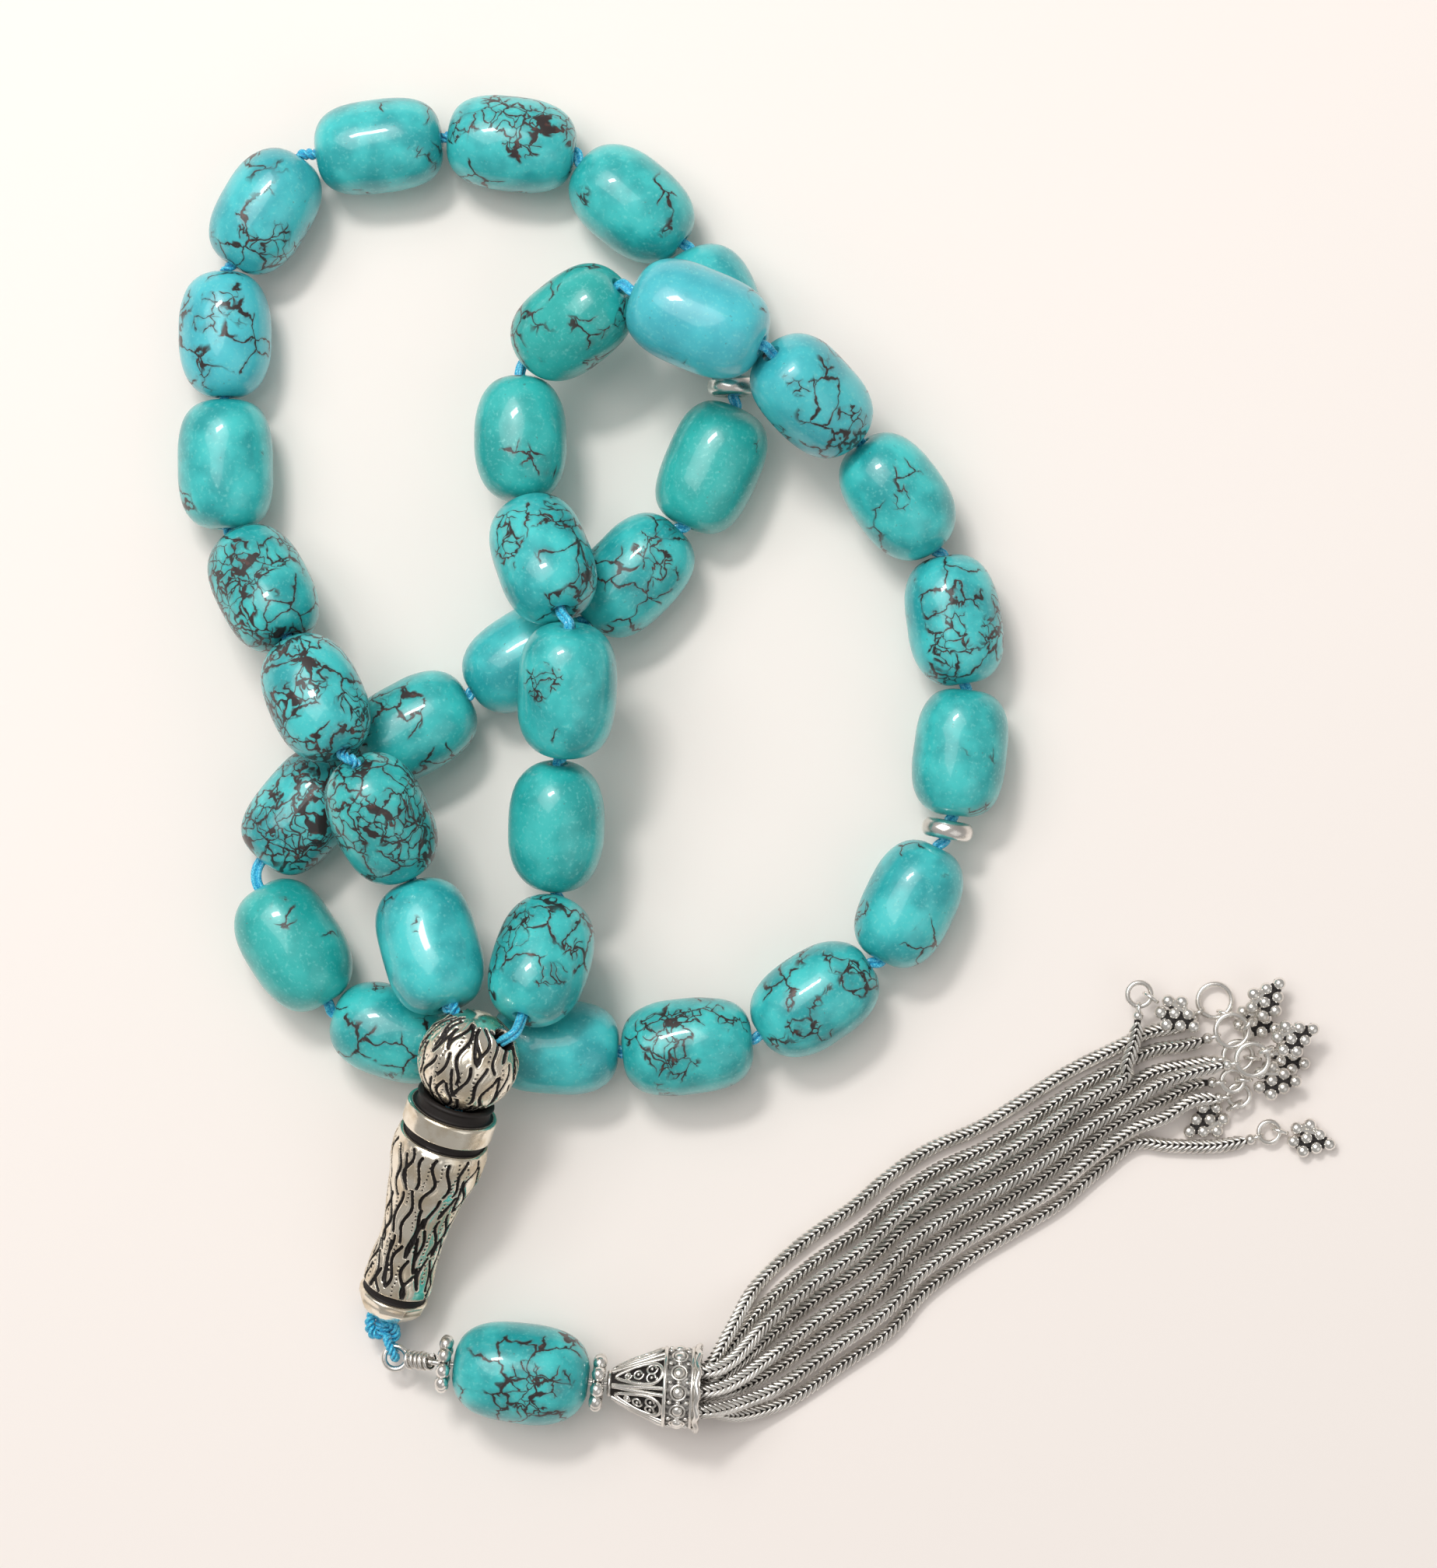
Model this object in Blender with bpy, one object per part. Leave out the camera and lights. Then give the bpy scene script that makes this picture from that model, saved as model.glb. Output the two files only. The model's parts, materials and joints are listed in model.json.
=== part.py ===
"""Misbaha prayer beads, lying on a flat surface at z = 0.

Thirty-three stone barrels and two separator discs sit on a nylon string. Both ends of the string run through
a silver imam, the leader piece, to a knot. A wire eye hangs in the knot. The wire carries a stone bead between
two beaded spacers, and a cone cap with eight foxtail chains. Each chain ends in a ring with a granulated charm.
Metres, +Z up. The origin is under the middle of the object's box.
"""

import math

import bmesh
import bpy
from mathutils import Matrix, Vector

MM = 0.001
# Moves the layout below so that the origin is under the middle of the object's box, in mm.
ORIGIN_SHIFT = (0.05, 0.01, 0.0)

# Stone beads. Radii of turned pieces are measured to the middle of a facet.
BEAD_LENGTH = 14.1 * MM
BEAD_RADIUS = 5.2 * MM
BORE_RADIUS = 0.85 * MM
BORE_MOUTH = 1.3 * MM
BEAD_SIDES = 12
# The barrel's outline from its widest part to its end: fractions of half the length and of the radius.
BARREL = ((0.33, 1.0), (0.80, 0.78), (1.0, 0.32))

# Cord and its knot
STRING_RADIUS = 0.65 * MM
STRING_GAP = 0.9 * MM
STEM_RADIUS = 1.15 * MM
STEM_BORE = 1.5 * MM
KNOT_RADII = (1.4 * MM, 2.2 * MM, 1.6 * MM)
KNOT_DISTANCE = 33.5 * MM
KNOT_LOOP_WIRE = 0.45 * MM

# Separator discs
DISC_RADIUS = 2.85 * MM
DISC_LENGTH = 2.0 * MM

# Imam: ball and turned body, measured from the ball's centre along the imam's axis
BALL_RADIUS = 5.4 * MM
BALL_HOLE = 1.05 * MM
HOLE_ANGLE = 38
HOLE_ROLL = 25
IMAM_PLACE = (-31.3, -31.9, 13.8)
IMAM_HEADING = 251.5
IMAM_PITCH = -19.5
IMAM_OUTLINE = (
    (5.8, 1.5), (4.3, 3.95), (4.5, 4.3), (6.3, 4.3), (6.35, 4.95), (8.4, 4.95), (8.45, 4.4), (9.4, 4.4),
    (9.5, 4.95), (11.0, 5.15), (15.2, 4.45), (20.3, 3.55), (23.5, 3.45), (27.9, 3.8), (28.3, 3.4),
    (29.0, 3.4), (29.2, 3.85), (30.2, 3.75), (31.8, 2.4), (31.8, 1.5),
)

# Wire, from the eye in the knot to the inner eye in the cap
WIRE_RADIUS = 0.35 * MM
EYE_RADIUS = 1.25 * MM
EYE_PLACE = (-39.95, -65.3, 3.2)
WRAP_RADIUS = 1.1 * MM
WRAP_SPAN = (1.7 * MM, 4.6 * MM)
INNER_EYE_RADIUS = 0.9 * MM

# Tassel head: bead, spacers and cap on the wire
TASSEL_BEAD_SCALE = 1.05
TASSEL_BEAD_PLACE = (-26.05, -66.65)
TASSEL_HEADING = -7
SPACER_OFFSET = 8.45 * MM
SPACER_LENGTH = 1.5 * MM
SPACER_RADIUS = 3.2 * MM
SPACER_NOTCH = 2.65 * MM
SPACER_LOBES = 9
CAP_PLACE = (-16.55, -67.75)
CAP_HEADING = -3.3
CAP_OUTLINE = (
    (0.0, 0.75), (0.0, 1.25), (3.0, 2.85), (6.1, 4.15), (9.3, 4.3), (9.4, 4.7), (10.1, 4.7), (10.1, 4.1),
    (6.1, 3.75), (3.0, 2.3),
)
INNER_EYE_ALONG = 4.8 * MM

# Foxtail chains, their end rings and the charms
CHAIN_RADIUS = 0.8 * MM
RING_WIRE = 0.28 * MM
CHARM_LOOP = 0.85 * MM
CHARM_LOOP_WIRE = 0.22 * MM
CHARM_THICKNESS = 1.0 * MM
CHARM_REACH = 3.1 * MM
# The charm's plate about its middle granule, with its loop towards -X, in mm.
CHARM_OUTLINE = ((-2.3, -0.3), (0.0, -2.0), (1.7, -1.2), (3.1, -0.4), (3.1, 0.4), (1.7, 1.2), (0.0, 2.0), (-2.3, 0.3))

STONE = ("turquoise", (0.06, 0.50, 0.47), 0.22, 0.0)
SILVER = ("silver", (0.78, 0.76, 0.72), 0.25, 1.0)
NYLON = ("nylon", (0.02, 0.42, 0.70), 0.55, 0.0)

# Stone beads in order along the string, from the imam's left hole round to its right hole:
# x and y of the centre and its lift above a bead that rests on the surface, in mm, then the heading along
# the string and the pitch in degrees, and the bead's size.
BEADS = (
    (-35.6, -19.8, 5.7, 107, -17, 1.02),
    (-40.7, -6.0, 7.7, 113, 26, 1.02),
    (-47.7, 6.9, 8.4, 117, -18, 1.0),
    (-53.9, 18.9, 3.0, 118, -25, 1.0),
    (-58.3, 32.6, 0.0, 91, 0, 1.0),
    (-58.4, 46.8, 0.0, 90, 0, 0.97),
    (-54.0, 60.3, 0.0, 58, 0, 0.98),
    (-41.6, 67.4, 0.0, 7, 0, 0.98),
    (-27.1, 67.6, 0.0, 353, 0, 0.99),
    (-14.0, 61.1, 0.0, 322, 0, 1.0),
    (-4.9, 49.6, 0.0, 292, 0, 0.99),
    (-5.3, 32.3, 0.0, 247, 0, 1.0),
    (-13.9, 20.5, 0.0, 226, 0, 1.0),
    (-25.6, 11.6, 0.0, 213, 0, 0.99),
    (-38.0, 3.8, 0.0, 209, 0, 1.0),
    (-49.9, -5.3, 0.0, 230, 0, 0.99),
    (-50.9, -19.9, 0.0, 301, 0, 1.03),
    (-39.9, -29.5, 0.0, 342, 0, 0.98),
    (-22.4, -31.0, 0.0, 357, 0, 0.99),
    (-7.9, -31.0, 0.0, 6, 0, 1.01),
    (6.0, -25.8, 0.0, 33, 0, 1.01),
    (16.3, -15.4, 0.0, 64, 0, 0.98),
    (21.9, 1.1, 0.0, 84, 0, 0.98),
    (21.2, 15.6, 0.0, 99, 0, 1.0),
    (15.0, 29.0, 1.1, 125, 10, 1.01),
    (5.5, 39.4, 7.0, 136, 30, 1.0),
    (-6.7, 47.3, 10.7, 157, -6, 1.06),
    (-20.2, 47.5, 5.5, 215, -27, 0.99),
    (-26.0, 35.2, 2.8, 271, 4, 0.96),
    (-23.4, 21.9, 7.3, 290, 29, 1.0),
    (-20.7, 7.7, 9.3, 267, -18, 1.02),
    (-22.0, -6.9, 4.5, 268, -14, 1.0),
    (-23.6, -21.3, 6.2, 252, 29, 1.02),
)
# Separator discs: the bead each one follows, its centre in mm and its heading in degrees.
DISCS = ((11, (-2.9, 41.1, 5.2), 270), (22, (20.5, -7.3, 5.2), 80))

# The fan of chains between the cap and the chains' own ends: points on its far and near edges, in mm.
FAN = (
    ((-3.2, -62.3), (-2.2, -71.6)),
    ((-0.4, -57.8), (3.2, -70.3)),
    ((4.7, -53.0), (8.9, -66.5)),
    ((10.3, -49.0), (14.4, -62.6)),
    ((14.4, -45.5), (18.1, -58.4)),
    ((19.0, -42.5), (23.2, -54.6)),
    ((24.1, -40.3), (27.8, -51.8)),
    ((29.0, -37.3), (33.0, -48.6)),
    ((34.2, -34.0), (37.4, -44.9)),
    ((39.4, -31.4), (41.3, -42.0)),
)
# Heights of the two layers that the chains lie in, in mm.
LAYERS = {"lower": 0.85, "upper": 2.55}

# Chains from the far edge of the fan to the near one: place in the cap's mouth (across, up), height at the
# fan's first station, share of the way across the fan, layer, then the points of the chain's own end, in mm.
CHAINS = (
    ((2.15, 0.0), 3.6, 0.0, "lower", ((43.0, -29.7, 0.85), (46.3, -29.0, 0.85))),
    ((1.05, -1.9), 1.8, 0.19, "lower", ((43.5, -31.7, 0.85), (47.0, -31.1, 1.6))),
    ((2.15, 2.05), 5.5, 0.31, "upper", ((40.3, -33.2, 3.1), (41.2, -30.4, 3.1), (41.5, -28.4, 3.1))),
    ((0.0, 0.0), 3.4, 0.44, "lower", ((43.5, -34.1, 0.85), (47.5, -33.3, 0.85))),
    ((0.0, 2.05), 5.4, 0.57, "upper", ((44.0, -35.3, 2.6), (48.0, -33.8, 3.3))),
    ((-1.05, -1.9), 1.8, 0.71, "lower", ((44.5, -37.2, 0.85), (47.6, -35.5, 1.5))),
    ((-2.15, 2.05), 4.9, 0.84, "upper", ((44.5, -39.0, 2.4), (47.5, -37.2, 2.2), (50.4, -36.9, 1.8))),
    ((-2.15, 0.0), 2.9, 1.0, "lower", ((45.0, -42.2, 0.85), (50.0, -42.3, 0.85), (53.6, -41.7, 0.85))),
)
# End rings, in the chains' order: centre and radius in mm, then the direction in degrees from the ring's
# centre to its charm's loop, the charm's own heading, and how far its plate lies below the loop's centre.
RINGS = (
    ((50.2, -26.2, 1.1), 1.85, -50, -17, 0.0),
    ((51.9, -29.4, 2.9), 1.8, 22, 52, 0.0),
    ((41.7, -25.4, 3.1), 1.3, -15, -34, 0.0),
    ((52.8, -32.3, 1.1), 1.6, -8, -6, 0.0),
    ((54.0, -32.5, 3.9), 1.75, 35, 24, 0.0),
    ((52.0, -34.9, 2.6), 1.2, 5, -2, 0.0),
    ((52.8, -36.6, 1.7), 1.2, -112, 211, 0.9),
    ((56.2, -40.7, 1.1), 1.15, 8, -15, 0.0),
)


def turned_mesh(name, outline, sides):
    """A mesh turned about X from a closed outline of (along, radius), with a facet that faces straight down."""
    half_step = math.pi / sides
    across = Vector((0, math.sin(half_step), -math.cos(half_step))) / math.cos(half_step)
    shape = bmesh.new()
    points = [shape.verts.new(Vector((along, 0, 0)) + across * radius) for along, radius in outline]
    edges = [shape.edges.new((points[i - 1], points[i])) for i in range(len(points))]
    bmesh.ops.spin(
        shape, geom=points + edges, axis=(1, 0, 0), cent=(0, 0, 0), angle=math.tau, steps=sides, use_merge=True
    )
    bmesh.ops.recalc_face_normals(shape, faces=shape.faces)
    return finished_mesh(name, shape)


def finished_mesh(name, shape):
    """The bmesh as a smooth-shaded mesh with its creases kept."""
    mesh = bpy.data.meshes.new(name)
    shape.to_mesh(mesh)
    shape.free()
    mesh.shade_smooth()
    mesh.set_sharp_from_angle(angle=math.radians(40))
    return mesh


def in_metres(outline):
    """An outline or a point list given in mm, in metres."""
    return [tuple(value * MM for value in point) for point in outline]


def rod_mesh(start, end, radius, sides=8):
    """A closed cylinder between two points."""
    start, end = Vector(start), Vector(end)
    turn = (end - start).to_track_quat("Z", "Y").to_matrix().to_4x4()
    shape = bmesh.new()
    bmesh.ops.create_cone(
        shape, cap_ends=True, segments=sides, radius1=radius, radius2=radius, depth=(end - start).length,
        matrix=Matrix.Translation((start + end) / 2) @ turn,
    )
    return finished_mesh("rod", shape)


def ball_mesh(centre, radii, u_segments, v_segments):
    """An ellipsoid with its radii along X, Y and Z."""
    shape = bmesh.new()
    bmesh.ops.create_uvsphere(
        shape, u_segments=u_segments, v_segments=v_segments, radius=1,
        matrix=Matrix.Translation(centre) @ Matrix.Diagonal((*radii, 1)),
    )
    return finished_mesh("ball", shape)


def hoop_mesh(centre, radius, wire, normal, steps=12, sides=6):
    """A closed ring of round wire about a normal."""
    turn = Vector(normal).to_track_quat("Z", "Y").to_matrix().to_4x4()
    shape = bmesh.new()
    section = bmesh.ops.create_circle(
        shape, segments=sides, radius=wire,
        matrix=Matrix.Translation((radius, 0, 0)) @ Matrix.Rotation(math.pi / 2, 4, "X"),
    )["verts"]
    edges = list({edge for point in section for edge in point.link_edges})
    bmesh.ops.spin(
        shape, geom=section + edges, axis=(0, 0, 1), cent=(0, 0, 0), angle=math.tau, steps=steps, use_merge=True
    )
    bmesh.ops.recalc_face_normals(shape, faces=shape.faces)
    bmesh.ops.transform(shape, matrix=Matrix.Translation(centre) @ turn, verts=shape.verts)
    return finished_mesh("hoop", shape)


def plate_mesh(outline, thickness):
    """A flat outline in the XY plane, extruded by its thickness about z = 0."""
    shape = bmesh.new()
    points = [shape.verts.new((x, y, -thickness / 2)) for x, y in outline]
    top = bmesh.ops.extrude_face_region(shape, geom=[shape.faces.new(points)])["geom"]
    bmesh.ops.translate(
        shape, vec=(0, 0, thickness), verts=[part for part in top if isinstance(part, bmesh.types.BMVert)]
    )
    bmesh.ops.recalc_face_normals(shape, faces=shape.faces)
    return finished_mesh("plate", shape)


def tube_curve(name, points, radius, resolution):
    """A curve object with a round section along the points, its ends filled."""
    curve = bpy.data.curves.new(name, "CURVE")
    curve.dimensions = "3D"
    curve.bevel_depth = radius
    curve.bevel_resolution = resolution
    curve.use_fill_caps = True
    spline = curve.splines.new("POLY")
    spline.points.add(len(points) - 1)
    for place, point in zip(spline.points, points):
        place.co = (*point, 1)
    return bpy.data.objects.new(name, curve)


def evaluated_mesh(piece):
    """The piece's mesh with its modifiers applied. The piece itself is removed."""
    bpy.context.scene.collection.objects.link(piece)
    graph = bpy.context.evaluated_depsgraph_get()
    mesh = bpy.data.meshes.new_from_object(piece.evaluated_get(graph))
    bpy.data.objects.remove(piece)
    return mesh


def tube_mesh(points, radius, resolution):
    """A welded tube along the points."""
    mesh = evaluated_mesh(tube_curve("tube", points, radius, resolution))
    shape = bmesh.new()
    shape.from_mesh(mesh)
    bmesh.ops.remove_doubles(shape, verts=shape.verts, dist=0.001 * MM)
    bmesh.ops.recalc_face_normals(shape, faces=shape.faces)
    return finished_mesh("tube", shape)


def combined(name, base, others, operation):
    """The base mesh with the others joined to it or cut from it."""
    piece = bpy.data.objects.new(name, base)
    helpers = []
    for other in others:
        helper = bpy.data.objects.new("helper", other)
        helper.hide_render = True
        helper.display_type = "WIRE"
        bpy.context.scene.collection.objects.link(helper)
        helpers.append(helper)
        modifier = piece.modifiers.new(operation.lower(), "BOOLEAN")
        modifier.operation = operation
        modifier.object = helper
    mesh = evaluated_mesh(piece)
    for helper in helpers:
        bpy.data.objects.remove(helper)
    mesh.name = name
    mesh.shade_smooth()
    mesh.set_sharp_from_angle(angle=math.radians(40))
    return mesh


def smooth_route(points, steps):
    """Points along a smooth curve through the given ones, with this many steps between two of them."""
    ends = [points[0] * 2 - points[1], *points, points[-1] * 2 - points[-2]]
    route = []
    for before, start, end, after in zip(ends, ends[1:], ends[2:], ends[3:]):
        for step in range(steps):
            t = step / steps
            route.append(
                0.5 * (2 * start + (end - before) * t
                       + (2 * before - 5 * start + 4 * end - after) * t ** 2
                       + (3 * start - before - 3 * end + after) * t ** 3)
            )
    return [*route, points[-1]]


def lying(centre, heading, pitch=0, roll=0):
    """The placing of a piece whose own X runs along a heading in degrees and rises by a pitch."""
    return (
        Matrix.Translation(centre)
        @ Matrix.Rotation(math.radians(heading), 4, "Z")
        @ Matrix.Rotation(-math.radians(pitch), 4, "Y")
        @ Matrix.Rotation(math.radians(roll), 4, "X")
    )


def material(spec):
    """A Principled material from its name, colour, roughness and metallic value."""
    name, colour, roughness, metallic = spec
    found = bpy.data.materials.get(name)
    if found is None:
        found = bpy.data.materials.new(name)
        found.use_nodes = True
        shader = found.node_tree.nodes["Principled BSDF"]
        shader.inputs["Base Color"].default_value = (*colour, 1)
        shader.inputs["Roughness"].default_value = roughness
        shader.inputs["Metallic"].default_value = metallic
    return found


def pivot(name, centre, parent=None):
    """An empty on a joint's axis, which the pieces that turn there are parented to."""
    empty = bpy.data.objects.new(name, None)
    empty.empty_display_size = 5 * MM
    return placed(empty, Matrix.Translation(centre), parent)


def placed(piece, world, parent=None):
    """Puts the piece at its world placing under its parent. The parents are neither turned nor scaled."""
    bpy.context.scene.collection.objects.link(piece)
    piece.parent = parent
    origin = Vector()
    while parent is not None:
        origin += parent.location
        parent = parent.parent
    piece.matrix_basis = Matrix.Translation(-origin) @ world
    return piece


def solid(name, data, spec, world, parent=None):
    """A named piece of the object, from its mesh or curve."""
    piece = bpy.data.objects.new(name, data)
    data.materials.clear()
    data.materials.append(material(spec))
    return placed(piece, world, parent)


def barrel_outline(scale):
    """A barrel bead's outline with its bore, closed."""
    half, radius = BEAD_LENGTH / 2 * scale, BEAD_RADIUS * scale
    rising = [(half * along, radius * out) for along, out in BARREL]
    falling = [(-along, out) for along, out in rising]
    return [(0, BORE_RADIUS), (half, BORE_MOUTH), *reversed(rising), *falling, (-half, BORE_MOUTH)]


def bead_placing(bead):
    """The bead's placing in the world."""
    x, y, lift, heading, pitch, scale = bead
    height = lift * MM + BEAD_RADIUS * scale
    return lying((x * MM, y * MM, height), heading, pitch)


def stone_beads():
    """The thirty-three barrels of the string."""
    for number, bead in enumerate(BEADS, 1):
        mesh = turned_mesh(f"bead_{number:02d}", barrel_outline(bead[5]), BEAD_SIDES)
        solid(f"bead_{number:02d}", mesh, STONE, bead_placing(bead))


def separator_discs():
    """The two discs that divide the string into elevens."""
    half, edge = DISC_LENGTH / 2, DISC_RADIUS - 0.6 * MM
    outline = (
        (half, BORE_RADIUS), (half, edge), (half / 2, DISC_RADIUS), (-half / 2, DISC_RADIUS), (-half, edge),
        (-half, BORE_RADIUS),
    )
    for number, (_, centre, heading) in enumerate(DISCS, 1):
        mesh = turned_mesh(f"separator_disc_{number}", outline, BEAD_SIDES)
        solid(f"separator_disc_{number}", mesh, SILVER, lying(Vector(centre) * MM, heading))


def imam_placing():
    """The imam's placing: its origin is the ball's centre, and its X runs down to the knot."""
    return lying(Vector(IMAM_PLACE) * MM, IMAM_HEADING, IMAM_PITCH)


def hole_directions():
    """The ball's two string holes as directions in the imam's own axes: left, then right."""
    angle, roll = math.radians(HOLE_ANGLE), math.radians(HOLE_ROLL)
    side = Vector((0, math.cos(roll), math.sin(roll))) * math.sin(angle)
    top = Vector((-math.cos(angle), 0, 0))
    return top - side, top + side


def string_route():
    """The string from the imam's left hole through every bead to its right hole, through the bores' ends."""
    holes = [imam_placing() @ (way * (BALL_RADIUS + STRING_GAP)) for way in hole_directions()]
    follows = {after: (centre, heading) for after, centre, heading in DISCS}
    route = [holes[0]]
    for number, bead in enumerate(BEADS, 1):
        half = BEAD_LENGTH / 2 * bead[5]
        route += [bead_placing(bead) @ Vector((way * half, 0, 0)) for way in (-1, 1)]
        if number in follows:
            centre, heading = follows[number]
            placing = lying(Vector(centre) * MM, heading)
            route += [placing @ Vector((way * DISC_LENGTH / 2, 0, 0)) for way in (-1, 1)]
    return [*route, holes[1]]


def string_and_imam(swing):
    """The string, the imam's two pieces, and the string's legs and knot below it."""
    loop = tube_curve("string_loop", string_route(), STRING_RADIUS, 2)
    data = loop.data
    bpy.data.objects.remove(loop)
    solid("string_loop", data, NYLON, Matrix())

    holes = hole_directions()
    ball = combined(
        "imam_ball",
        ball_mesh((0, 0, 0), (BALL_RADIUS,) * 3, 16, 10),
        [
            rod_mesh((-STEM_BORE, 0, 0), (2 * BALL_RADIUS, 0, 0), STEM_BORE),
            *(rod_mesh((0, 0, 0), way * 2 * BALL_RADIUS, BALL_HOLE) for way in holes),
        ],
        "DIFFERENCE",
    )
    solid("imam_ball", ball, SILVER, imam_placing(), swing)
    body = turned_mesh("imam_body", in_metres(IMAM_OUTLINE), 16)
    solid("imam_body", body, SILVER, imam_placing(), swing)

    knot = (KNOT_DISTANCE, 0, 0)
    to_imam = imam_placing().inverted()
    away = knot_link() - Vector(EYE_PLACE) * MM
    across = Vector((away.y, -away.x, 0)).normalized()
    tail = combined(
        "string_tail",
        rod_mesh((-0.5 * MM, 0, 0), knot, STEM_RADIUS),
        [
            *(rod_mesh((0, 0, 0), way * (BALL_RADIUS - 0.3 * MM), STRING_RADIUS) for way in holes),
            ball_mesh(knot, KNOT_RADII, 10, 6),
            hoop_mesh(to_imam @ knot_link(), EYE_RADIUS, KNOT_LOOP_WIRE, to_imam.to_3x3() @ across),
        ],
        "UNION",
    )
    solid("string_tail", tail, NYLON, imam_placing(), swing)


def knot_link():
    """Where the knot's loop holds the wire's eye: the side of the eye that faces the knot."""
    eye = Vector(EYE_PLACE) * MM
    knot = imam_placing() @ Vector((KNOT_DISTANCE, 0, 0))
    away = Vector((knot.x - eye.x, knot.y - eye.y, 0)).normalized()
    return eye + away * EYE_RADIUS


def tassel_axis(along):
    """A point on the tassel bead's axis, this far past the bead's centre."""
    height = BEAD_RADIUS * TASSEL_BEAD_SCALE
    return lying((TASSEL_BEAD_PLACE[0] * MM, TASSEL_BEAD_PLACE[1] * MM, height), TASSEL_HEADING) @ Vector(
        (along, 0, 0)
    )


def cap_placing():
    """The cap's placing: its origin is the cone's tip, and its X runs out of the mouth."""
    height = BEAD_RADIUS * TASSEL_BEAD_SCALE
    return lying((CAP_PLACE[0] * MM, CAP_PLACE[1] * MM, height), CAP_HEADING)


def tassel_wire(swing):
    """The wire: eye, wraps, straight pin and inner eye."""
    eye = Vector(EYE_PLACE) * MM
    neck = tassel_axis(-SPACER_OFFSET - 1.4 * MM)
    way = (neck - eye).normalized()
    inner = cap_placing() @ Vector((INNER_EYE_ALONG, 0, 0))
    pin_end = cap_placing() @ Vector((INNER_EYE_ALONG - INNER_EYE_RADIUS, 0, 0))
    pin = tube_mesh(
        [eye + way * EYE_RADIUS, neck, tassel_axis(SPACER_OFFSET), pin_end], WIRE_RADIUS, 2
    )
    mesh = combined(
        "tassel_wire",
        pin,
        [
            hoop_mesh(eye, EYE_RADIUS, WIRE_RADIUS, (0, 0, 1)),
            rod_mesh(eye + way * WRAP_SPAN[0], eye + way * WRAP_SPAN[1], WRAP_RADIUS, 10),
            hoop_mesh(inner, INNER_EYE_RADIUS, WIRE_RADIUS, (0, 0, 1), 10),
        ],
        "UNION",
    )
    link = knot_link()
    mesh.transform(Matrix.Translation(-link))
    solid("tassel_wire", mesh, SILVER, Matrix.Translation(link), swing)


def beaded_spacer_mesh(name):
    """A ring with a scalloped rim: one lobe for each granule."""
    half = SPACER_LENGTH / 2
    outline = ((half, BORE_RADIUS), (half, SPACER_RADIUS), (-half, SPACER_RADIUS), (-half, BORE_RADIUS))
    mesh = turned_mesh(name, outline, 2 * SPACER_LOBES)
    rim = [point for point in mesh.vertices if math.hypot(point.co.y, point.co.z) > SPACER_NOTCH]
    for point in rim:
        step = round(math.atan2(point.co.z, point.co.y) * SPACER_LOBES / math.pi - 0.5)
        if step % 2:
            point.co.yz = point.co.yz * (SPACER_NOTCH / SPACER_RADIUS)
    return mesh


def tassel_head(swing):
    """The bead, the spacers and the cap on the wire."""
    mesh = turned_mesh("tassel_bead", barrel_outline(TASSEL_BEAD_SCALE), BEAD_SIDES)
    solid("tassel_bead", mesh, STONE, lying(tassel_axis(0), TASSEL_HEADING), swing)
    for number, side in enumerate((-1, 1), 1):
        name = f"beaded_spacer_{number}"
        mesh = beaded_spacer_mesh(name)
        solid(name, mesh, SILVER, lying(tassel_axis(side * SPACER_OFFSET), TASSEL_HEADING), swing)
    solid("cone_cap", turned_mesh("cone_cap", in_metres(CAP_OUTLINE), 16), SILVER, cap_placing(), swing)


def chain_route(mouth, first_height, share, layer, end):
    """A chain's points from inside the cap, through the fan, to the last ones before its ring."""
    across, up = mouth
    cap = cap_placing()
    route = [cap @ (Vector((along, across, up)) * MM) for along in (7.0, 10.6)]
    for station, (far, near) in enumerate(FAN):
        height = first_height if station == 0 else LAYERS[layer]
        route.append((Vector(far).lerp(Vector(near), share).to_3d() + Vector((0, 0, height))) * MM)
    return route + [Vector(point) * MM for point in end]


def tassel_chains(swing):
    """The eight chains, each with its end ring. They turn about the inner eye."""
    fan = pivot("chain_fan", cap_placing() @ Vector((INNER_EYE_ALONG, 0, 0)), swing)
    origin = cap_placing() @ Vector((INNER_EYE_ALONG, 0, 0))
    for number, (chain, ring) in enumerate(zip(CHAINS, RINGS), 1):
        centre, radius = Vector(ring[0]) * MM, ring[1] * MM
        route = chain_route(*chain)
        route.append(centre + (route[-1] - centre).normalized() * radius)
        name = f"tassel_chain_{number}"
        hoop = hoop_mesh(centre, radius, RING_WIRE, (0, 0, 1))
        mesh = combined(name, tube_mesh(smooth_route(route, 1), CHAIN_RADIUS, 1), [hoop], "UNION")
        mesh.transform(Matrix.Translation(-origin))
        solid(name, mesh, SILVER, Matrix.Translation(origin), fan)
        tassel_charm(number, ring, fan)


def tassel_charm(number, ring, fan):
    """A charm: a loop round the chain's end ring, and a plate of the granules' outer shape."""
    centre, radius, link_angle, heading, drop = ring
    angle = math.radians(link_angle)
    link = (Vector(centre) + Vector((math.cos(angle), math.sin(angle), 0)) * radius) * MM
    outline = [(x * MM + CHARM_REACH, y * MM) for x, y in CHARM_OUTLINE]
    loop = hoop_mesh((0, 0, 0), CHARM_LOOP, CHARM_LOOP_WIRE, (0, 1, 0), 10)
    name = f"tassel_charm_{number}"
    plate = plate_mesh(outline, CHARM_THICKNESS)
    plate.transform(Matrix.Translation((0, 0, -drop * MM)))
    mesh = combined(name, plate, [loop], "UNION")
    solid(name, mesh, SILVER, lying(link, heading), fan)


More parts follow.
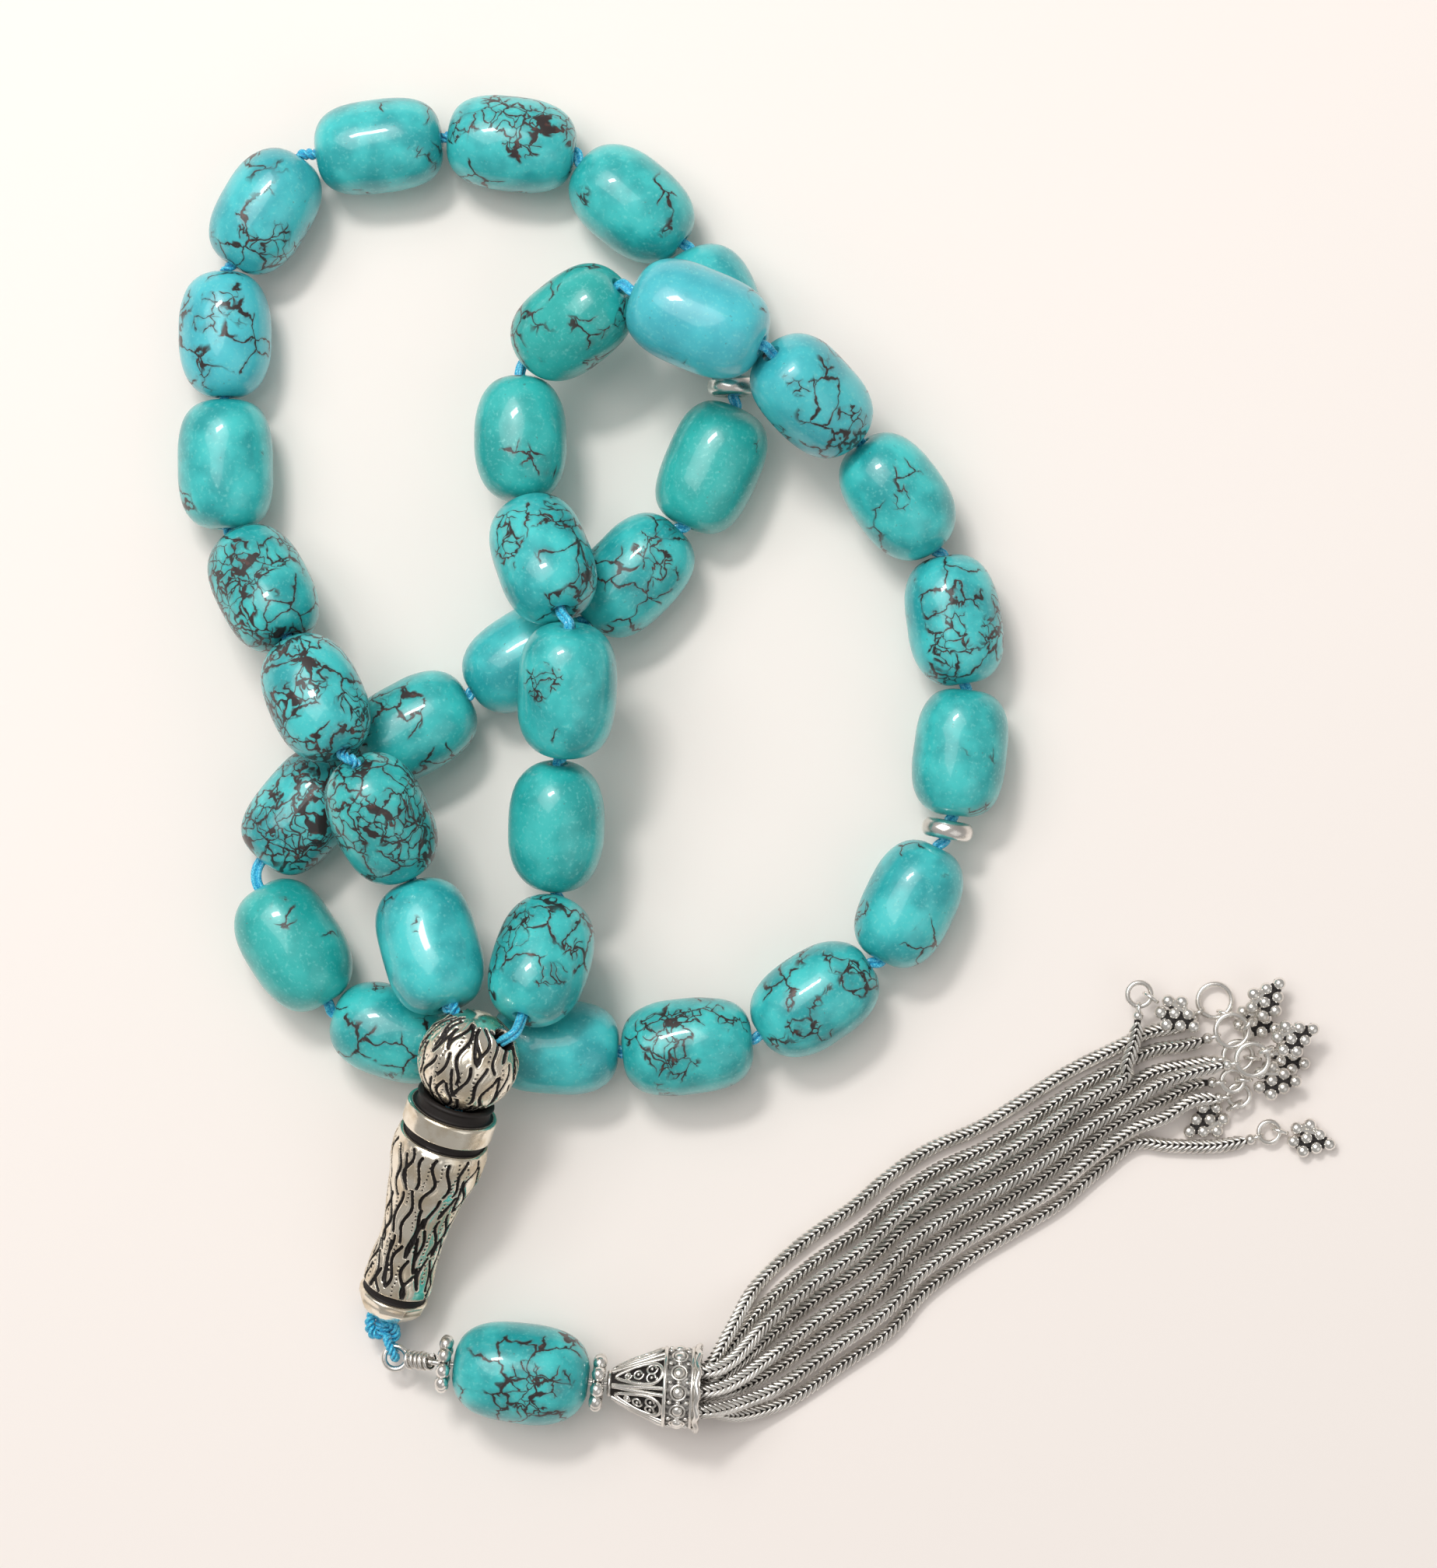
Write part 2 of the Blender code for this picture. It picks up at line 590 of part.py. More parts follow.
def main():
    """Builds every piece of the beads."""
    for old in list(bpy.data.objects):
        bpy.data.objects.remove(old)
    stone_beads()
    separator_discs()
    holes = [imam_placing() @ (way * BALL_RADIUS) for way in hole_directions()]
    imam_swing = pivot("imam_swing", (holes[0] + holes[1]) / 2)
    string_and_imam(imam_swing)
    tassel_swing = pivot("tassel_swing", knot_link(), imam_swing)
    tassel_wire(tassel_swing)
    tassel_head(tassel_swing)
    tassel_chains(tassel_swing)
    for piece in bpy.data.objects:
        if piece.parent is None:
            piece.location += Vector(ORIGIN_SHIFT) * MM


main()
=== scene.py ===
"""Looks of the misbaha prayer beads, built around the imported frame.

Stone barrels on a twisted nylon string, an engraved silver imam with a knot below it, a wire with a stone
bead between granulated spacers, a filigree cone cap, and eight foxtail chains with granulated charms.
Shapes are worked out in millimetres and put into the frame in metres.
"""

import json
import logging
import math
import random
from collections.abc import Iterable, Sequence
from dataclasses import dataclass
from enum import Enum
from typing import Any

import bmesh
import bpy
import numpy as np
from mathutils import Matrix, Vector, noise

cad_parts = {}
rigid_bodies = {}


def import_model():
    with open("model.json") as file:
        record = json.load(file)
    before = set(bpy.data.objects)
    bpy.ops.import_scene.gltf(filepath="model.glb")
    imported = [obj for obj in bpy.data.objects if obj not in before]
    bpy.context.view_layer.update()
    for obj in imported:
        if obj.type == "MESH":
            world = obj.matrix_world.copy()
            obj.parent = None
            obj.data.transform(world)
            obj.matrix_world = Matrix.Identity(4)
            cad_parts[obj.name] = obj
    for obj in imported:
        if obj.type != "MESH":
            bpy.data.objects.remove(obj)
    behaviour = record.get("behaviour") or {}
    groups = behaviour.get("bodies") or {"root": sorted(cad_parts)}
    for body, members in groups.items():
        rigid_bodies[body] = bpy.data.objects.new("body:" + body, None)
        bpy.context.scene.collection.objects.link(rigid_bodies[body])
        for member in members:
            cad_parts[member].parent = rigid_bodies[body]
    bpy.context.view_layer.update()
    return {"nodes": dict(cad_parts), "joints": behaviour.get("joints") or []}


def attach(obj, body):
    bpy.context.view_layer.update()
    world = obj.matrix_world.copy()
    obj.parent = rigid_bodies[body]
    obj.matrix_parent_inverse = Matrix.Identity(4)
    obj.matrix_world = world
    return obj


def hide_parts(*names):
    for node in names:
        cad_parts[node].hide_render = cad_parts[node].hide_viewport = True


for leftover in list(bpy.data.objects):
    bpy.data.objects.remove(leftover)
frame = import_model()

MM = 0.001
# The layout's own origin in the frame, in mm.
SHIFT = Vector((0.05, 0.01, 0.0))
# How far out in the rock, in mm, a bead's stone may be taken from.
ROCK_REACH = 400
# Where the camera stands in the frame, in metres, and half the width that it sees at a distance, in mm.
CAMERA_PLACE = (-0.00445, -0.0023, 0.45)
VIEW_HALF_WIDTH, VIEW_DISTANCE = 78.5, 444.8
LOG = logging.getLogger("misbaha")

# The fan of chains between the cap and the chains' own ends: points on its far and near edges, in mm.
FAN = (
    ((-3.2, -62.3), (-2.2, -71.6)),
    ((-0.4, -57.8), (3.2, -70.3)),
    ((4.7, -53.0), (8.9, -66.5)),
    ((10.3, -49.0), (14.4, -62.6)),
    ((14.4, -45.5), (18.1, -58.4)),
    ((19.0, -42.5), (23.2, -54.6)),
    ((24.1, -40.3), (27.8, -51.8)),
    ((29.0, -37.3), (33.0, -48.6)),
    ((34.2, -34.0), (37.4, -44.9)),
    ((39.4, -31.4), (41.3, -42.0)),
)
# Chains from the far edge of the fan to the near one: place in the cap's mouth (across, up), height at the
# fan's first station, share of the way across the fan, height in the fan, then the chain's own end points.
LOWER, UPPER = 0.85, 2.55
CHAINS = (
    ((2.15, 0.0), 3.6, 0.0, LOWER, ((43.0, -29.7, 0.85), (46.3, -29.0, 0.85))),
    ((1.05, -1.9), 1.8, 0.19, LOWER, ((43.5, -31.7, 0.85), (47.0, -31.1, 1.6))),
    ((2.15, 2.05), 5.5, 0.31, UPPER, ((40.3, -33.2, 3.1), (41.2, -30.4, 3.1), (41.5, -28.4, 3.1))),
    ((0.0, 0.0), 3.4, 0.44, LOWER, ((43.5, -34.1, 0.85), (47.5, -33.3, 0.85))),
    ((0.0, 2.05), 5.4, 0.57, UPPER, ((44.0, -35.3, 2.6), (48.0, -33.8, 3.3))),
    ((-1.05, -1.9), 1.8, 0.71, LOWER, ((44.5, -37.2, 0.85), (47.6, -35.5, 1.5))),
    ((-2.15, 2.05), 4.9, 0.84, UPPER, ((44.5, -39.0, 2.4), (47.5, -37.2, 2.2), (50.4, -36.9, 1.8))),
    ((-2.15, 0.0), 2.9, 1.0, LOWER, ((45.0, -42.2, 0.85), (50.0, -42.3, 0.85), (53.6, -41.7, 0.85))),
)
# End rings: centre and radius, then the direction in degrees from the ring's centre to its charm's loop, the
# charm's own heading, and how far its plate lies below the loop's centre.
RINGS = (
    ((50.2, -26.2, 1.1), 1.85, -50, -17, 0.0),
    ((51.9, -29.4, 2.9), 1.8, 22, 52, 0.0),
    ((41.7, -25.4, 3.1), 1.3, -15, -34, 0.0),
    ((52.8, -32.3, 1.1), 1.6, -8, -6, 0.0),
    ((54.0, -32.5, 3.9), 1.75, 35, 24, 0.0),
    ((52.0, -34.9, 2.6), 1.2, 5, -2, 0.0),
    ((52.8, -36.6, 1.7), 1.2, -112, 211, 0.9),
    ((56.2, -40.7, 1.1), 1.15, 8, -15, 0.0),
)


def linear(red: int, green: int, blue: int) -> tuple[float, float, float, float]:
    """A display colour from 0 to 255 as a linear one with full alpha."""
    values = (value / 255 for value in (red, green, blue))
    return (*(v / 12.92 if v <= 0.04045 else ((v + 0.055) / 1.055) ** 2.4 for v in values), 1.0)


def mix_numbers(start: float, end: float, share: float) -> float:
    """The number this share of the way from start to end."""
    return start + (end - start) * share


def lying(centre: Sequence[float], heading: float, pitch: float = 0.0) -> Matrix:
    """The placing of a piece whose own X runs along a heading and rises by a pitch, in degrees."""
    return (
        Matrix.Translation(Vector(centre) + SHIFT)
        @ Matrix.Rotation(math.radians(heading), 4, "Z")
        @ Matrix.Rotation(-math.radians(pitch), 4, "Y")
    )


def along_axis(centre: Vector, axis: Vector) -> Matrix:
    """The placing of a piece whose own X runs along an axis, with its own Z as near upright as can be."""
    ahead = axis.normalized()
    side = Vector((0, 0, 1)).cross(ahead).normalized()
    turn = Matrix((ahead, side, ahead.cross(side))).transposed().to_4x4()
    return Matrix.Translation(centre) @ turn


def joint_line(name: str) -> tuple[Vector, Vector]:
    """A joint's point in mm and its axis."""
    found = next(joint for joint in frame["joints"] if joint["name"] == name)
    return Vector(found["pos_m"]) / MM, Vector(found["axis"])


def smooth_line(points: Sequence[Vector], steps: int) -> list[Vector]:
    """Points along a smooth curve through the given ones, with this many steps between two of them."""
    ends = [points[0] * 2 - points[1], *points, points[-1] * 2 - points[-2]]
    line = []
    for before, start, end, after in zip(ends, ends[1:], ends[2:], ends[3:]):
        for step in range(steps):
            t = step / steps
            line.append(
                0.5 * (2 * start + (end - before) * t
                       + (2 * before - 5 * start + 4 * end - after) * t ** 2
                       + (3 * start - before - 3 * end + after) * t ** 3)
            )
    return [*line, points[-1]]


def even_line(points: Sequence[Vector], spacing: float) -> list[Vector]:
    """The same line with its points at even distances of about the spacing."""
    line = np.array([tuple(point) for point in points])
    reach = np.concatenate([[0.0], np.cumsum(np.linalg.norm(np.diff(line, axis=0), axis=1))])
    places = np.linspace(0, reach[-1], max(2, round(reach[-1] / spacing) + 1))
    return [Vector(point) for point in np.stack([np.interp(places, reach, axis) for axis in line.T], axis=1)]


def line_length(points: Sequence[Vector]) -> float:
    """The length of a line."""
    return sum((end - start).length for start, end in zip(points, points[1:]))


def coordinates(mesh: bpy.types.Mesh, of: str = "co") -> np.ndarray:
    """A mesh's points as rows of X, Y and Z, or its normals."""
    rows = np.empty(len(mesh.vertices) * 3)
    mesh.vertices.foreach_get(of, rows)
    return rows.reshape(-1, 3)


def tarnish_and_shade_of(mesh: bpy.types.Mesh) -> np.ndarray:
    """How dark each point of a mesh is marked, for tarnish and for painted shade."""
    values = np.empty(len(mesh.vertices))
    mesh.attributes["tarnish_and_shade"].data.foreach_get("value", values)
    return values


def reshape(mesh: bpy.types.Mesh, points: np.ndarray, tarnish_and_shade: np.ndarray | None = None) -> None:
    """Moves a mesh's points to these rows, and sets how dark they are marked, for tarnish and painted shade,
    where it is given.
    """
    mesh.vertices.foreach_set("co", points.ravel())
    if tarnish_and_shade is not None:
        mesh.attributes["tarnish_and_shade"].data.foreach_set("value", tarnish_and_shade.astype(np.float32))


def evaluated(piece: bpy.types.Object) -> bpy.types.Mesh:
    """The mesh of an object as its modifiers and bevels make it. The object is removed."""
    bpy.context.scene.collection.objects.link(piece)
    mesh = bpy.data.meshes.new_from_object(piece.evaluated_get(bpy.context.evaluated_depsgraph_get()))
    bpy.data.objects.remove(piece)
    return mesh


def tube(
    points: Sequence[Vector],
    radius: float,
    closed: bool = False,
    resolution: int = 3,
    section: bpy.types.Object | None = None,
    tilts: Sequence[float] | None = None,
) -> bpy.types.Mesh:
    """A tube along a line.

    Args:
        points: The line that the tube follows.
        radius: The radius of a round tube, unused with a section.
        closed: Whether the last point joins the first.
        resolution: How finely a round section is divided.
        section: A curve object with the section's outline, in place of a round one.
        tilts: The turn of the section about the line at each point, in radians.

    Returns:
        A welded mesh with its faces out.
    """
    curve = bpy.data.curves.new("tube", "CURVE")
    curve.dimensions = "3D"
    curve.use_fill_caps = not closed
    curve.twist_mode = "MINIMUM"
    if section is None:
        curve.bevel_depth = radius
        curve.bevel_resolution = resolution
    else:
        curve.bevel_mode = "OBJECT"
        curve.bevel_object = section
    spline = curve.splines.new("POLY")
    spline.points.add(len(points) - 1)
    spline.use_cyclic_u = closed
    for number, (place, point) in enumerate(zip(spline.points, points)):
        place.co = (*point, 1)
        place.tilt = tilts[number] if tilts else 0.0
    mesh = evaluated(bpy.data.objects.new("tube", curve))
    bpy.data.curves.remove(curve)
    shape = bmesh.new()
    shape.from_mesh(mesh)
    bmesh.ops.remove_doubles(shape, verts=shape.verts, dist=0.0005)
    bmesh.ops.recalc_face_normals(shape, faces=shape.faces)
    shape.to_mesh(mesh)
    shape.free()
    return mesh


class Shells:
    """Closed shells gathered into one piece, each of them with its share of black, for tarnish and for
    painted shade.
    """

    def __init__(self) -> None:
        """Starts an empty piece."""
        self.shape = bmesh.new()
        self.tarnish_and_shade = self.shape.verts.layers.float.new("tarnish_and_shade")

    def keep(self, mesh: bpy.types.Mesh, tarnish_and_shade: float = 0.0, matrix: Matrix | None = None) -> None:
        """Takes a mesh in.

        Args:
            mesh: The mesh, which is removed.
            tarnish_and_shade: How dark its silver is, from 0 to 1, for tarnish and for painted shade.
            matrix: Where it goes in the piece.
        """
        if matrix is not None:
            mesh.transform(matrix)
        before = len(self.shape.verts)
        self.shape.from_mesh(mesh)
        self.shape.verts.ensure_lookup_table()
        self.tag(self.shape.verts[before:], tarnish_and_shade)
        bpy.data.meshes.remove(mesh)

    def tag(self, verts: Iterable[bmesh.types.BMVert], tarnish_and_shade: float) -> None:
        """Sets how dark some points are, for tarnish and for painted shade."""
        for point in verts:
            point[self.tarnish_and_shade] = tarnish_and_shade

    def granule(
        self, centre: Sequence[float], radii: Sequence[float], tarnish_and_shade: float = 0.0, segments: int = 16
    ) -> None:
        """Adds a granule, an ellipsoid with its radii along X, Y and Z."""
        made = bmesh.ops.create_uvsphere(
            self.shape, u_segments=segments, v_segments=segments * 2 // 3, radius=1,
            matrix=Matrix.Translation(centre) @ Matrix.Diagonal((*radii, 1)),
        )
        self.tag(made["verts"], tarnish_and_shade)

    def wire(
        self, points: Sequence[Vector], radius: float, tarnish_and_shade: float = 0.0, closed: bool = False,
        resolution: int = 3,
    ) -> None:
        """Adds a round wire along a line."""
        self.keep(tube(points, radius, closed, resolution), tarnish_and_shade)

    def hoop(
        self, centre: Sequence[float], radius: float, wire: float, normal: Sequence[float],
        tarnish_and_shade: float = 0.0, steps: int = 48,
    ) -> None:
        """Adds a closed ring of round wire about a normal."""
        turn = Vector(normal).to_track_quat("Z", "Y").to_matrix()
        angles = (math.tau * step / steps for step in range(steps))
        ring = [Vector(centre) + turn @ (Vector((math.cos(a), math.sin(a), 0)) * radius) for a in angles]
        self.wire(ring, wire, tarnish_and_shade, closed=True)

    def turned(self, outline: Sequence[Sequence[float]], steps: int) -> None:
        """Adds a shell turned about X.

        Args:
            outline: A closed outline of (along, radius, darkness), the darkness for tarnish and painted
                shade.
            steps: The number of steps round.
        """
        points = []
        for along, radius, tarnish_and_shade in outline:
            point = self.shape.verts.new((along, 0, radius))
            point[self.tarnish_and_shade] = tarnish_and_shade
            points.append(point)
        edges = [self.shape.edges.new((points[i - 1], points[i])) for i in range(len(points))]
        bmesh.ops.spin(
            self.shape, geom=points + edges, axis=(1, 0, 0), cent=(0, 0, 0), angle=math.tau, steps=steps,
            use_merge=True,
        )
        self.face_out({face for point in points if point.is_valid for face in point.link_faces})

    def face_out(self, faces: Iterable[bmesh.types.BMFace]) -> None:
        """Turns the faces of the shell that these belong to outwards."""
        shell, front = set(faces), list(faces)
        while front:
            for edge in front.pop().edges:
                for face in edge.link_faces:
                    if face not in shell:
                        shell.add(face)
                        front.append(face)
        bmesh.ops.recalc_face_normals(self.shape, faces=list(shell))

    def mesh(self, name: str) -> bpy.types.Mesh:
        """The finished mesh, in mm and in the piece's own frame."""
        mesh = bpy.data.meshes.new(name)
        self.shape.to_mesh(mesh)
        self.shape.free()
        return mesh


def placed(
    mesh: bpy.types.Mesh,
    world: Matrix,
    finish: bpy.types.Material,
    body: str,
    replaces: Sequence[str],
    crease: float = 40.0,
) -> bpy.types.Object:
    """Puts a mesh into the frame as a piece.

    Args:
        mesh: The mesh in mm, named as the piece is to be.
        world: Its placing, with the translation in mm.
        finish: Its material.
        body: The body that it rides on.
        replaces: The nodes that it stands for.
        crease: The angle in degrees past which an edge is sharp.

    Returns:
        The piece's object.
    """
    mesh.transform(Matrix.Scale(MM, 4) @ world)
    mesh.shade_smooth()
    mesh.set_sharp_from_angle(angle=math.radians(crease))
    mesh.materials.clear()
    mesh.materials.append(finish)
    piece = bpy.data.objects.new(mesh.name, mesh)
    bpy.context.scene.collection.objects.link(piece)
    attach(piece, body)
    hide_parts(*replaces)
    return piece


class Value:
    """A shader socket that takes part in arithmetic."""

    def __init__(self, tree: bpy.types.NodeTree, socket: bpy.types.NodeSocket) -> None:
        """Wraps an output socket."""
        self.tree, self.socket = tree, socket

    def maths(self, operation: str, *terms: "Value | float") -> "Value":
        """A Math node on these terms."""
        node = self.tree.nodes.new("ShaderNodeMath")
        node.operation = operation
        for slot, term in zip(node.inputs, terms):
            if isinstance(term, Value):
                self.tree.links.new(term.socket, slot)
            else:
                slot.default_value = term
        return Value(self.tree, node.outputs[0])

    def __add__(self, other: "Value | float") -> "Value":
        """The sum."""
        return self.maths("ADD", self, other)

    def __sub__(self, other: "Value | float") -> "Value":
        """The difference."""
        return self.maths("SUBTRACT", self, other)

    def __rsub__(self, other: float) -> "Value":
        """The difference from a number."""
        return self.maths("SUBTRACT", other, self)

    def __mul__(self, other: "Value | float") -> "Value":
        """The product."""
        return self.maths("MULTIPLY", self, other)

    __radd__ = __add__
    __rmul__ = __mul__

    def at_least(self, other: "Value | float") -> "Value":
        """The larger of the two."""
        return self.maths("MAXIMUM", self, other)


class Recipe:
    """A material being made: its nodes and its Principled shader."""

    def __init__(self, name: str, **constants: Any) -> None:
        """Starts a material.

        Args:
            name: The material's name.
            constants: Values for the shader's own sockets, with underscores for spaces.
        """
        self.material = bpy.data.materials.new(name)
        self.material.use_nodes = True
        self.tree = self.material.node_tree
        self.shader = self.tree.nodes["Principled BSDF"]
        for socket, value in constants.items():
            self.shader.inputs[socket.replace("_", " ")].default_value = value

    def add(self, kind: str, settings: dict[str, Any], sockets: dict[str | int, Any]) -> bpy.types.Node:
        """Adds a node.

        Args:
            kind: The node's type.
            settings: Its own settings, which are set first.
            sockets: What goes into its sockets: a link's other end, or a plain value.

        Returns:
            The node.
        """
        node = self.tree.nodes.new(kind)
        for name, value in settings.items():
            setattr(node, name, value)
        for name, value in sockets.items():
            if isinstance(value, Value):
                value = value.socket
            if isinstance(value, bpy.types.NodeSocket):
                self.tree.links.new(value, node.inputs[name])
            else:
                node.inputs[name].default_value = value
        return node

    def feed(self, socket: str, value: "Value | bpy.types.NodeSocket") -> None:
        """Links something that varies to the shader."""
        source = value.socket if isinstance(value, Value) else value
        self.tree.links.new(source, self.shader.inputs[socket])

    def place(self) -> bpy.types.NodeSocket:
        """Where a point is on the object, in metres."""
        return self.add("ShaderNodeTexCoord", {}, {}).outputs["Object"]

    def attribute(self, name: str) -> bpy.types.Node:
        """A mesh attribute."""
        return self.add("ShaderNodeAttribute", {"attribute_name": name}, {})

    def number(self, name: str) -> Value:
        """A mesh attribute that is one number."""
        return Value(self.tree, self.attribute(name).outputs["Fac"])

    def cloud(self, place: bpy.types.NodeSocket, scale: float, detail: float = 2.0) -> Value:
        """Noise from 0 to 1 about a half."""
        node = self.add("ShaderNodeTexNoise", {}, {"Vector": place, "Scale": scale, "Detail": detail})
        return Value(self.tree, node.outputs["Fac"])

    def warped(self, place: bpy.types.NodeSocket, scale: float, reach: float) -> bpy.types.NodeSocket:
        """The place moved about by noise of that reach."""
        wobble = self.add("ShaderNodeTexNoise", {}, {"Vector": place, "Scale": scale, "Detail": 2.0})
        moved = self.add(
            "ShaderNodeVectorMath", {"operation": "MULTIPLY_ADD"},
            {0: wobble.outputs["Color"], 1: (reach, reach, reach), 2: place},
        )
        return moved.outputs[0]

    def cracks(self, place: bpy.types.NodeSocket, scale: float) -> Value:
        """The distance to the nearest wall between cells, in cells."""
        node = self.add(
            "ShaderNodeTexVoronoi", {"feature": "DISTANCE_TO_EDGE"}, {"Vector": place, "Scale": scale}
        )
        return Value(self.tree, node.outputs["Distance"])

    def step(self, value: Value, start: "Value | float", end: "Value | float") -> Value:
        """A smooth step from 0 at the start to 1 at the end."""
        node = self.add(
            "ShaderNodeMapRange", {"interpolation_type": "SMOOTHSTEP"},
            {"Value": value, "From Min": start, "From Max": end},
        )
        return Value(self.tree, node.outputs["Result"])

    def blend(self, share: Value, start: Any, end: Any) -> bpy.types.NodeSocket:
        """A mix of two colours."""
        node = self.add("ShaderNodeMix", {"data_type": "RGBA"}, {0: share, 6: start, 7: end})
        return node.outputs[2]

    def relief(self, height: Value, depth: float, strength: float) -> None:
        """Gives the shader a bump of that depth in metres."""
        bump = self.add("ShaderNodeBump", {}, {"Height": height, "Distance": depth, "Strength": strength})
        self.feed("Normal", bump.outputs["Normal"])


@dataclass(frozen=True)
class StoneFinish:
    """Polished veined turquoise. Its coordinates are mm in each bead, each at its own place in the rock."""

    deep: tuple = linear(22, 154, 158)
    light: tuple = linear(66, 202, 202)
    blue: tuple = linear(84, 192, 214)
    green: tuple = linear(30, 164, 152)
    pale: tuple = linear(132, 220, 214)
    vein: tuple = linear(34, 22, 22)
    brown: tuple = linear(84, 50, 44)

    def make(self) -> bpy.types.Material:
        """The material."""
        work = Recipe("veined_turquoise", IOR=1.52, Coat_Weight=0.6, Coat_Roughness=0.05)
        rock = work.attribute("grain").outputs["Vector"]
        veining, tint = work.number("veining"), work.number("tint")

        bent = work.warped(rock, 0.30, 3.4)
        frayed = work.warped(bent, 1.3, 0.75)
        swell = work.cloud(rock, 0.8)
        flood = work.step(work.cloud(bent, 0.42, 3.0), 0.56, 0.72) * veining
        wide = work.cracks(frayed, 0.25)
        narrow = work.cracks(frayed, 0.60)
        region = work.cloud(rock, 0.13, 1.0)
        nest = work.cloud(work.warped(rock, 0.2, 5.0), 0.15, 1.0)
        wide_here = work.step(region, 0.69 - veining * 0.34, 0.74 - veining * 0.34)
        nest_here = work.step(nest, 0.73 - veining * 0.25, 0.78 - veining * 0.25)
        wide_gap = work.step(wide, swell * 0.03 + flood * 0.04, swell * 0.07 + flood * 0.14)
        narrow_gap = work.step(narrow, swell * 0.04 + flood * 0.16, swell * 0.12 + flood * 0.30)
        wide_line = (1 - wide_gap) * wide_here
        narrow_line = (1 - narrow_gap) * nest_here
        lines = wide_line.at_least(narrow_line)
        halo = (1 - work.step(wide, 0.0, 0.13)) * wide_here
        halo = halo.at_least((1 - work.step(narrow, 0.0, 0.36)) * nest_here)
        blotch = work.step(work.cloud(rock, 0.9, 4.0), 0.56, 0.66) * lines

        body = work.blend(work.step(work.cloud(rock, 0.22, 3.0), 0.32, 0.68), self.deep, self.light)
        body = work.blend(tint.at_least(0.0), body, self.blue)
        body = work.blend((0.0 - tint).at_least(0.0), body, self.green)
        speckle = work.step(work.cloud(rock, 2.6, 4.0), 0.52, 0.76) * 0.40
        body = work.blend(speckle, body, self.pale)
        prick = work.step(work.cloud(rock, 2.3, 2.0), 0.70, 0.76) * 0.40
        body = work.blend(prick, body, self.brown)
        body = work.blend(halo * 0.28, body, self.brown)
        dark = work.blend(blotch * 0.7, self.vein, self.brown)
        work.feed("Base Color", work.blend(lines, body, dark))
        work.feed("Roughness", 0.30 + work.cloud(rock, 1.1) * 0.14 + lines * 0.15)
        work.relief(work.cloud(rock, 2.0) * 0.12 - lines, 0.00004, 0.6)
        return work.material


@dataclass(frozen=True)
class SilverFinish:
    """Cast or drawn silver, black where points are marked dark: tarnish in the engraving, tarnish and painted
    shade in recesses and crevices, painted shade in dark cores.
    """

    name: str
    bright: tuple
    dull: tuple
    roughness: float = 0.20
    black: tuple = linear(30, 25, 24)

    def make(self) -> bpy.types.Material:
        """The material."""
        work = Recipe(self.name)
        place = work.place()
        # Painted shade and tarnish: the points marked dark turn black.
        dark = work.step(work.number("tarnish_and_shade") + (work.cloud(place, 2500.0) - 0.5) * 0.25, 0.36, 0.56)
        cloudy = work.step(work.cloud(place, 420.0, 4.0), 0.38, 0.66)
        metal = work.blend(cloudy, self.bright, self.dull)
        work.feed("Base Color", work.blend(dark, metal, self.black))
        work.feed("Metallic", 1.0 - dark * 0.75)
        work.feed("Roughness", self.roughness + cloudy * 0.12 + dark * 0.35)
        work.relief(work.cloud(place, 900.0, 3.0), 0.00005, 0.35)
        return work.material


@dataclass(frozen=True)
class NylonFinish:
    """Glossy twisted nylon, a bright sky blue."""

    colour: tuple = linear(0, 156, 208)
    pale: tuple = linear(100, 220, 244)

    def make(self) -> bpy.types.Material:
        """The material."""
        work = Recipe("blue_nylon", Sheen_Weight=0.3, IOR=1.53)
        place = work.place()
        fibre = work.cloud(place, 5200.0, 3.0)
        work.feed("Base Color", work.blend(work.step(fibre, 0.35, 0.7), self.colour, self.pale))
        work.feed("Roughness", 0.16 + fibre * 0.14)
        work.relief(fibre, 0.00004, 0.5)
        return work.material


@dataclass(frozen=True)
class FloorFinish:
    """A pale warm sheet."""

    colour: tuple = (0.915, 0.855, 0.818, 1.0)
    shade: tuple = (0.885, 0.825, 0.788, 1.0)

    def make(self) -> bpy.types.Material:
        """The material."""
        work = Recipe("pale_floor", Roughness=0.8, Specular_IOR_Level=0.2)
        work.feed("Base Color", work.blend(work.cloud(work.place(), 6.0), self.colour, self.shade))
        return work.material


class VeinDensity(Enum):
    """How much of a bead's stone is veined."""

    PLAIN = 0.10
    FEW = 0.32
    MEDIUM = 0.62
    HEAVY = 1.0


